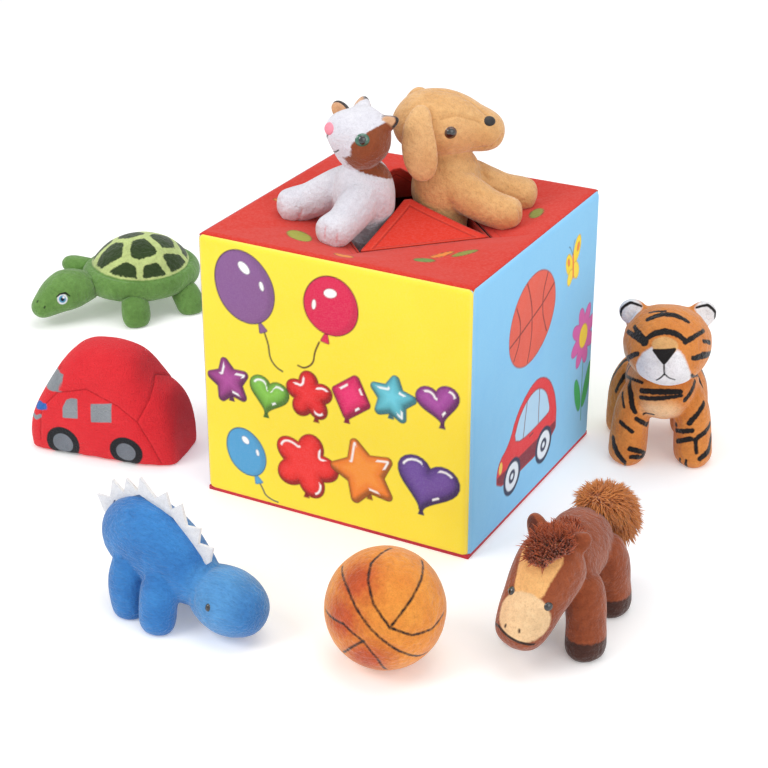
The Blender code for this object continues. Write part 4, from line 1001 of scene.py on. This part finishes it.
def tigerToy():
    skin = stuffedSkin("tiger", toyNodes("tiger_"), "tiger", softLook)
    sightLines = [
        # face
        [(385, 155, 1.5), (500, 115, 1.8), (600, 120, 1.8), (705, 175, 1.2)],
        [(400, 100, 0.6), (520, 90, 0.7)],
        [(385, 300, 1.4), (430, 270, 1.9), (520, 250, 1.9), (600, 265, 1.9), (680, 320, 1.3)],
        [(355, 335, 2.8), (275, 215, 1.2)], [(355, 335, 2.2), (220, 250, 1.1)],
        [(175, 375, 2.0), (300, 430, 1.3)],
        [(680, 340, 1.4), (830, 245, 1.1)], [(745, 465, 1.3), (820, 445, 2.1), (885, 420, 1.4)],
        [(830, 330, 1.0), (880, 340, 1.3)], [(730, 600, 0.8), (830, 575, 1.4)],
        [(215, 610, 0.8), (340, 660, 0.7)],
        # chest
        [(330, 725, 1.4), (490, 735, 1.8), (645, 735, 1.4)],
        [(325, 780, 1.1), (490, 785, 1.3), (650, 765, 0.9)],
        [(350, 912, 0.6), (425, 915, 0.7)], [(240, 660, 1.4), (260, 860, 1.5), (285, 900, 0.9)],
        [(180, 740, 0.7), (195, 860, 0.6)],
        [(760, 650, 1.2), (680, 800, 1.4)], [(830, 820, 1.2), (715, 985, 1.6)],
        # front legs
        [(165, 975, 1.2), (260, 1055, 0.9)], [(105, 1100, 1.5), (110, 1150, 1.8), (190, 1290, 1.6)],
        [(240, 1190, 1.5), (360, 1225, 1.1)], [(245, 1255, 1.1), (360, 1235, 1.3)],
        [(880, 990, 1.5), (760, 1120, 1.3)],
        [(610, 1043, 1.2), (735, 1045, 1.4)], [(620, 1130, 1.4), (725, 1110, 1.4)],
        [(890, 1080, 1.5), (870, 1200, 1.8), (800, 1270, 1.5)], [(765, 1130, 1.1), (770, 1220, 1.0)],
        [(640, 1270, 0.6), (640, 1320, 0.6)], [(690, 1280, 0.6), (690, 1330, 0.6)],
        [(200, 1290, 0.6), (205, 1340, 0.6)]]
    faceLines = [seen(skin, "tiger", line) for line in sightLines]
    chestLines = [[(30, -19, 35, 1.2), (27, -10, 28, 1.2), (27, 6, 28, 1.0)]]
    backLines = [[(x, 31, 34, 0.8), (x + 2, 26, 52, 1.8), (x - 1, 8, 66, 1.6)] for x in (-46, -35, -24, -13,
        -3)]
    backLines += [[(-48, 30, 26, 1.0), (-34, 38, 22, 1.7)], [(-46, 32, 15, 1.0), (-32, 38, 11, 1.6)],
                  [(-8, 27, 96, 1.2), (-6, 10, 108, 1.6)],
                  [(4, 31, 84, 1.2), (2, 28, 99, 1.6)], [(-9, 26, 78, 1.0), (-8, 26, 90, 1.5)]]
    own = toyView(spots(skin), "tiger")
    paint(skin, "stripes",
          drawn(skin, "tiger", own, faceLines + chestLines + backLines + mirrored(backLines)) - 0.45)
    muzzle = ballGap(own, (42, -3, 80), (15, 19, 20))
    paint(skin, "muzzle", np.maximum(muzzle, -ballGap(own, (46, -4, 98), (9, 8, 6))))
    paint(skin, "cheek", np.minimum(ballGap(own, (22, -28, 74), (16, 12, 14)),
                                    ballGap(own, (30, -2, 44), (10, 13, 9))))
    paint(skin, "bridge", ballGap(own, (46, -4, 99), (9, 9, 5)))
    flat = np.stack((own[:, 1], own[:, 2]), 1)
    corners = [(y, z) for x, y, z in seen(skin, "tiger", [(430, 403), (598, 395), (512, 508)])]
    paint(skin, "nose", np.maximum(outlineGap(flat, corners, 0.9), 36 - own[:, 0]))
    mouth = [seen(skin, "tiger", line) for line in (
        [(511, 515, 0.6), (515, 590, 0.6)], [(515, 590, 0.6), (490, 618, 0.6), (450, 642, 0.6)],
        [(515, 590, 0.6), (550, 622, 0.6), (600, 638, 0.6)])]
    paint(skin, "mouth", drawn(skin, "tiger", own, mouth))
    ears = np.minimum(ballGap(own, (7, -26, 107), (8, 9.5, 9.5)), ballGap(own, (7, 26, 107), (8, 9.5, 9.5)))
    paint(skin, "ears", ears)
    rim = [[(12, 18, 113, 0.8), (12, 27, 116, 1.1), (12, 35, 109, 1.1), (11, 35, 102, 0.8)]]
    paint(skin, "earRim", drawn(skin, "tiger", own, rim + mirrored(rim)))
    skin.data.materials[0] = plush(
        "tigerPlush", {"colour": tint(220, 138, 66), "shade": tint(204, 118, 52)},
        [("cheek", tint(244, 196, 148), 7.0, 3.0), ("ears", tint(240, 238, 240), 1.2, 1.0),
         ("stripes", inkBlack, 0.8, 1.5),
         ("muzzle", tint(243, 240, 243), 0.9, 1.0), ("bridge", tint(236, 180, 116), 1.2, 1.0),
         ("earRim", inkBlack, 0.7, 0.6),
         ("nose", inkBlack, 0.6, 0.4), ("mouth", inkBlack, 0.6, 0.2)])


def horseToy():
    skin = stuffedSkin("horse", [n for n in toyNodes("horse_") if n != "horse_tail"], "horse",
                       softLook)
    own = toyView(spots(skin), "horse")
    paint(skin, "blaze", lineGap(own, [(45, -4, 69, 13), (56, -6, 58, 10), (60, -6, 50, 6)]))
    paint(skin, "muzzle", ballGap(own, (62, -7, 40), (16, 15, 15)))
    mouth = seen(skin, "horse", [(52, 458, 0.7), (60, 518, 0.9), (120, 566, 1.0), (168, 573, 0.8)])
    paint(skin, "mouth", drawn(skin, "horse", own, [mouth]))
    nostrils = [seen(skin, "horse", [(122, 528, 0.7), (122, 535, 0.7)]),
                seen(skin, "horse", [(80, 512, 0.7), (78, 519, 0.7)])]
    paint(skin, "nostril", drawn(skin, "horse", own, nostrils))
    paint(skin, "hooves", own[:, 2] - 13.5)
    out = outwards(skin)
    turn = math.radians(places["horse"][3])
    facing = out @ np.array((math.cos(turn), math.sin(turn), 0.0))
    ears = np.minimum(lineGap(own, [(25, 13, 72, 4.5), (20, 20, 78, 3.5)]),
                      lineGap(own, [(25, -13, 72, 4.5), (20, -20, 78, 3.5)]))
    paint(skin, "earFront", np.maximum(ears, (0.3 - facing) * 3))
    skin.data.materials[0] = plush(
        "horsePlush", {"colour": tint(150, 76, 44), "shade": tint(128, 60, 34)},
        [("blaze", tint(246, 186, 118), 1.2, 1.6), ("muzzle", tint(242, 202, 154), 1.2, 1.4),
         ("hooves", tint(72, 42, 34), 1.4, 2.4),
         ("earFront", tint(96, 44, 30), 1.2, 1.0), ("mouth", tint(44, 24, 18), 0.8, 0.4),
         ("nostril", tint(60, 30, 20), 0.8, 0.2)])
    tail = stuffedSkin("horse", ["horse_tail"], "horse", dict(softLook, swell=-0.0015))
    tail.name = "horseTail"
    tail.data.materials[0] = plush("tailPlush", {"colour": tint(172, 98, 44), "shade": tint(140, 72, 32)})
    fur = {"patches": 160, "bump": 0.3, "roughness": 0.7, "depth": 0.15, "light": 0.1}
    maneFur = plush("maneFur", dict(fur, colour=tint(186, 92, 50), shade=tint(146, 66, 34)))
    tailFur = plush("tailFur", dict(fur, colour=tint(214, 138, 72), shade=tint(176, 98, 48)))
    locks("horseMane", "horse", skin, lambda own: lineGap(own,
                                                          [(45, -4, 74, 9), (34, 0, 76, 12), (18, 0, 70, 9),
                                                           (2, 0, 64, 7)]),
          {"seed": 5, "count": 1300, "length": 0.0125, "wide": 0.00045, "spread": 0.30,
           "lean": (0.35, 0, 0.45), "droop": 0.30}, maneFur)
    locks("horseTailFur", "horse", tail, lambda own: own[:, 0] + 27,
          {"seed": 6, "count": 2400, "length": 0.0100, "wide": 0.00045, "spread": 0.22,
           "lean": (-0.2, 0, -0.5), "droop": 0.25}, tailFur)
    for side, spot in zip(("Left", "Right"), seen(skin, "horse", [(213, 456), (97, 406)])):
        bead("horseEye" + side, "horse", skin, spot, (2.8, 2.8, 2.0), 0.6, black)


def dinosaurToy():
    skin = stuffedSkin("dinosaur", [n for n in toyNodes("dinosaur_") if n != "dinosaur_crest"], "dinosaur",
                       softLook)
    seams = [[(31, 6, 46, 0.3), (33, -8, 44, 0.3), (34, -18, 34, 0.3), (34, -20, 24, 0.3)],
             [(50, -8, 40, 0.3), (60, -6, 32, 0.3), (65, -5, 24, 0.3)]]
    groove(skin, "dinosaur", seams + mirrored(seams[:1]), 1.1, 0.7)
    own = toyView(spots(skin), "dinosaur")
    paint(skin, "head", ballGap(own, (48, -2, 26), (20, 24, 24)))
    skin.data.materials[0] = plush(
        "dinosaurPlush", {"colour": tint(58, 130, 200), "shade": tint(44, 108, 178), "nap": 1500,
                          "crush": 620,
                           "weave": (0.3, 1, 1)},
        [("head", tint(86, 152, 212), 12.0, 3.0)])
    for side, spot in (("Right", seen(skin, "dinosaur", [(335, 403)])[0]), ("Left", (46, 18, 28))):
        bead("dinosaurEye" + side, "dinosaur", skin, spot, (1.9, 2.5, 1.5), 0.4, black)
    crest = cadCopy("dinosaurCrest", ["dinosaur_crest"])
    step = crest.modifiers.new("edge", "BEVEL")
    step.width = 0.0003
    step.segments = 2
    step.limit_method = "ANGLE"
    applySteps(crest)
    felt = plush("crestFelt", {"colour": tint(238, 238, 240), "shade": tint(232, 232, 236), "nap": 1700,
                               "light": 0.12})
    settle(crest, "dinosaur", ["dinosaur_crest"], felt, smooth=False)


def turtleToy():
    skin = stuffedSkin("turtle", [n for n in toyNodes("turtle_") if n != "turtle_shell"], "turtle",
                       softLook)
    own = toyView(spots(skin), "turtle")
    x, y, z = seen(skin, "turtle", [(133, 236)])[0]
    eyes = ((x, y, z), (x, 12 - y, z))  # the head points 6 mm to the left
    for part, size in (("eyeWhite", 4.6), ("eyeBlue", 3.1), ("eyePupil", 1.7)):
        paint(skin, part, np.minimum(*[ballGap(own, eye, (size * 0.9, 6, size)) for eye in eyes]))
    paint(skin, "eyeGlint", np.minimum(*[ballGap(own, (x - 1.1, y, z + 1.5), (1.0, 6, 1.0)) for x, y,
                                         z in eyes]))
    brows = [[(x - 6, y, z + 2, 0.6), (x - 3, y, z + 5, 0.8), (x + 2, y, z + 5, 0.7),
              (x + 5, y, z + 3, 0.5)] for x, y, z in eyes]
    paint(skin, "brow", drawn(skin, "turtle", own, brows))
    nostrils = [seen(skin, "turtle", [(84, 256, 0.7), (82, 260, 0.7)]),
                seen(skin, "turtle", [(64, 240, 0.7), (62, 244, 0.7)])]
    paint(skin, "nostril", drawn(skin, "turtle", own, nostrils))
    look = {"colour": tint(112, 156, 80), "shade": tint(92, 134, 62)}
    skin.data.materials[0] = plush(
        "turtlePlush", look, [("eyeWhite", tint(240, 246, 250), 0.7, 0.2),
                              ("eyeBlue", tint(96, 168, 206), 0.7, 0.2),
                              ("eyePupil", tint(18, 24, 40), 0.7, 0.2),
                              ("eyeGlint", tint(255, 255, 255), 0.7, 0.1),
                              ("brow", inkBlack, 0.6, 0.3), ("nostril", tint(38, 60, 30), 0.8, 0.2)])
    shell = stuffedSkin("turtle", ["turtle_shell"], "turtle", softLook)
    shell.name = "turtleShell"
    where = spots(shell)
    own = toyView(where, "turtle")
    reach = np.hypot(own[:, 0], own[:, 1])
    onTop = own[:, 2] > 30
    pull = np.exp(-((reach - 41.5) / 1.3) ** 2) * onTop * 0.0011
    moveTo(shell, where - outwards(shell) * pull[:, None])
    middles = [(5, 16, 54), (-19, 9, 53), (24, 5, 51), (25, 29, 38), (2, 37, 37), (-20, 30, 41), (-36, 8, 42),
               (5, -10, 55), (-16, -18, 50), (24, -17, 48), (2, -34, 40), (-30, -24, 40), (26, -34, 34)]
    gaps = np.sort(np.stack([np.linalg.norm(own - np.array(m), axis=1) for m in middles], 1), axis=1)
    dome = np.where(onTop, reach - 40.5, 5.0)
    paint(shell, "cream", dome)
    paint(shell, "patches", np.maximum(2.7 - (gaps[:, 1] - gaps[:, 0]) / 2 + 0.8 * ripple(where, 0.012, 9),
                                       dome + 1.6))
    shell.data.materials[0] = plush("shellPlush", look, [("cream", tint(204, 222, 142), 0.9, 0.8),
                                                         ("patches", tint(50, 70, 32), 1.0, 2.6)])


def carToy():
    skin = stuffedSkin("car", ["car_body"], "car", softLook)
    seams = [[(45, 27, 10, 0.3), (43, 27, 34, 0.3), (30, 27, 48, 0.3), (7, 27, 54, 0.3), (-17, 28, 45, 0.3),
              (-31, 28, 35, 0.3)],
             [(-31, 28, 35, 0.3), (-36, 18, 48, 0.3), (-33, 0, 59, 0.3)],
             [(-31, 28, 35, 0.3), (-40, 27, 19, 0.3), (-46, 24, 3, 0.3)],
             [(30, 27, 48, 0.3), (30, 15, 62, 0.3), (30, 0, 66, 0.3)]]
    seams += mirrored(seams)
    groove(skin, "car", seams, 0.9, 0.6)
    own = toyView(spots(skin), "car")
    side = np.stack((own[:, 0], own[:, 2]), 1)
    ahead = np.stack((own[:, 1], own[:, 2]), 1)
    inward = 19 - np.abs(own[:, 1])
    panes = np.minimum(outlineGap(side, [(25, 31), (25, 38), (22, 44), (18, 46), (14, 46), (14, 32)], 0.4),
                       outlineGap(side, [(3, 31), (3, 44), (-12, 46), (-12, 33)], 0.4))
    screen = np.maximum(outlineGap(ahead, [(-26, 49), (-24, 60), (24, 60), (26, 49)], 1.0),
                        np.maximum(26 - own[:, 0], 1.4 - np.abs(own[:, 1])))
    paint(skin, "panes", np.minimum(np.maximum(panes, inward), screen))
    for part, front, back in (("tyres", 13.0, 12.4), ("hubs", 7.8, 7.4)):
        wheels = np.minimum(blobGap(side, (27, 10), (front, front)),
                            blobGap(side, (-22, 11), (back, back * 0.94)))
        paint(skin, part, np.maximum(wheels, inward))
    lamp = np.stack((np.abs(own[:, 1]), own[:, 2]), 1)
    paint(skin, "lamps", np.maximum(blobGap(lamp, (25.5, 35), (3.6, 3.2)), 38 - own[:, 0]))
    bumper = [[(44.5, 29, 28, 1.4), (47.5, 26.5, 25.5, 1.6), (50, 14, 24, 1.5), (51, 7, 23.5, 1.5)]]
    paint(skin, "bumper", drawn(skin, "car", own, bumper + mirrored(bumper)))
    paint(skin, "seam", drawn(skin, "car", own, seams))
    skin.data.materials[0] = plush(
        "carKnit", {"colour": tint(234, 48, 56), "shade": tint(226, 40, 50), "nap": 1900, "crush": 900,
                    "light": 0.16, "sheen": 0.1, "depth": 0.2},
        [("seam", tint(176, 22, 32), 1.0, 0.2), ("panes", tint(150, 156, 162), 0.7, 0.3),
         ("bumper", tint(150, 156, 162), 0.7, 0.2),
         ("lamps", tint(52, 112, 196), 0.7, 0.2), ("tyres", tint(34, 36, 40), 0.8, 0.5),
         ("hubs", tint(126, 133, 142), 0.7, 0.3)])


def ballToy():
    # lines are laid out as the camera sees them, in shares of the radius, and again behind
    skin = stuffedSkin("ball", ["ball"], "ball", softLook)
    arcs = [[(0.10, 0.98), (-0.23, 0.77), (-0.28, 0.52), (-0.19, 0.16), (0.065, -0.21), (0.42, -0.355),
             (0.74, -0.29), (0.95, -0.065)],
            [(0.60, 0.78), (0.58, 0.52), (0.39, 0.19), (0.19, -0.065), (0.07, -0.22)],
            [(-0.71, 0.68), (-0.61, 0.39), (-0.42, 0.0), (-0.16, -0.32), (0.16, -0.58), (0.52, -0.74),
             (0.70, -0.70)],
            [(-0.98, -0.03), (-0.68, -0.19), (-0.355, -0.45), (-0.13, -0.74), (0.03, -0.98)],
            [(-0.355, -0.45), (-0.55, -0.58), (-0.68, -0.71)]]
    right, up, near = np.array(sightRight), np.array(sightUp), -np.array(sightAhead)
    ballRadius, ballMiddle = 36, np.array((0, 0, 36))
    lines = []
    for arc in arcs:
        for front in (1, -1):
            line = []
            for a, b in arc:
                depth = front * near * math.sqrt(max(1 - a * a - b * b, 0))
                place = ballMiddle + ballRadius * (a * right + b * up + depth)
                line.append((*place, 0.95))
            lines.append(line)
    own = toyView(spots(skin), "ball")
    groove(skin, "ball", lines, 1.1, 0.5)
    paint(skin, "lines", drawn(skin, "ball", own, lines))
    blush = [np.array((0, 0, 36)) + 36 * (a * right + b * up + math.sqrt(1 - a * a - b * b) * near * front)
             for a, b, front in ((-0.45, 0.5, 1), (-0.7, -0.1, 1), (-0.3, -0.75, 1), (0.4, 0.1, -1),
                                 (-0.4, -0.4, -1))]
    paint(skin, "blush", np.minimum.reduce([ballGap(own, spot, (14, 14, 14)) for spot in blush]))
    skin.data.materials[0] = plush("ballPlush", {"colour": tint(234, 150, 62), "shade": tint(222, 128, 50)},
                                   [("blush", tint(196, 84, 40), 16.0, 10.0),
                                    ("lines", tint(36, 24, 20), 0.8, 0.9)])


for makeToy in (catToy, dogToy, tigerToy, horseToy, dinosaurToy, turtleToy, carToy, ballToy):
    makeToy()
    print(makeToy.__name__, "done")

soundPlastic = plain("soundPlastic", tint(232, 232, 226), 0.4)
soundButton = plain("soundButton", tint(206, 60, 52), 0.45)
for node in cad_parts:
    if "sound" in node:
        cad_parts[node].data.materials.clear()
        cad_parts[node].data.materials.append(soundButton if "button" in node else soundPlastic)

# Camera, light and floor
camera = bpy.data.cameras.new("camera")
camera.lens = sight["lens"]
camera.sensor_width = sight["sensor"]
cameraObject = bpy.data.objects.new("camera", camera)
bpy.context.scene.collection.objects.link(cameraObject)
cameraObject.location = sight["from"]
cameraObject.rotation_euler = sightAhead.to_track_quat("-Z", "Y").to_euler()
bpy.context.scene.camera = cameraObject

lampLooks = {"key": ((-0.9, -1.3, 1.5), 1.0, 15), "fill": ((1.5, -0.7, 0.9), 1.4, 9),
             "top": ((0.1, 0.3, 1.9), 1.6, 14)}
for name, (spot, size, power) in lampLooks.items():
    lamp = bpy.data.lights.new(name, "AREA")
    lamp.size = size
    lamp.energy = power
    lampObject = bpy.data.objects.new(name, lamp)
    bpy.context.scene.collection.objects.link(lampObject)
    lampObject.location = spot
    lampObject.rotation_euler = (Vector((0, 0, 0.08)) - Vector(spot)).to_track_quat("-Z", "Y").to_euler()

world = bpy.data.worlds.new("world")
bpy.context.scene.world = world
world.use_nodes = True
links, nodes = world.node_tree.links, world.node_tree.nodes
paths = nodes.new("ShaderNodeLightPath")
seen = nodes.new("ShaderNodeMath")
seen.operation = "MAXIMUM"
links.new(paths.outputs["Is Camera Ray"], seen.inputs[0])
links.new(paths.outputs["Is Glossy Ray"], seen.inputs[1])
level = nodes.new("ShaderNodeMapRange")
links.new(seen.outputs[0], level.inputs["Value"])
level.inputs["To Min"].default_value = 0.55
level.inputs["To Max"].default_value = 1.0
links.new(level.outputs[0], nodes["Background"].inputs["Strength"])
nodes["Background"].inputs["Color"].default_value = (1, 1, 1, 1)

bpy.ops.object.select_all(action="DESELECT")
bpy.ops.mesh.primitive_plane_add(size=14, location=(0, 0, 0))
floor = bpy.context.active_object
floor.name = "floor"
floorFinish = Finish("floorFinish", 0.9)
floorFinish.shader.inputs["Emission Color"].default_value = (1, 1, 1, 1)
floorFinish.shader.inputs["Emission Strength"].default_value = 0.22
floor.data.materials.append(floorFinish.finish(floorFinish.mix(floorFinish.noise(3, 2.0) * 0.1,
    (0.93, 0.93, 0.93, 1), (0.9, 0.9, 0.9, 1))))
bpy.context.scene.view_settings.view_transform = "Standard"

print("done")
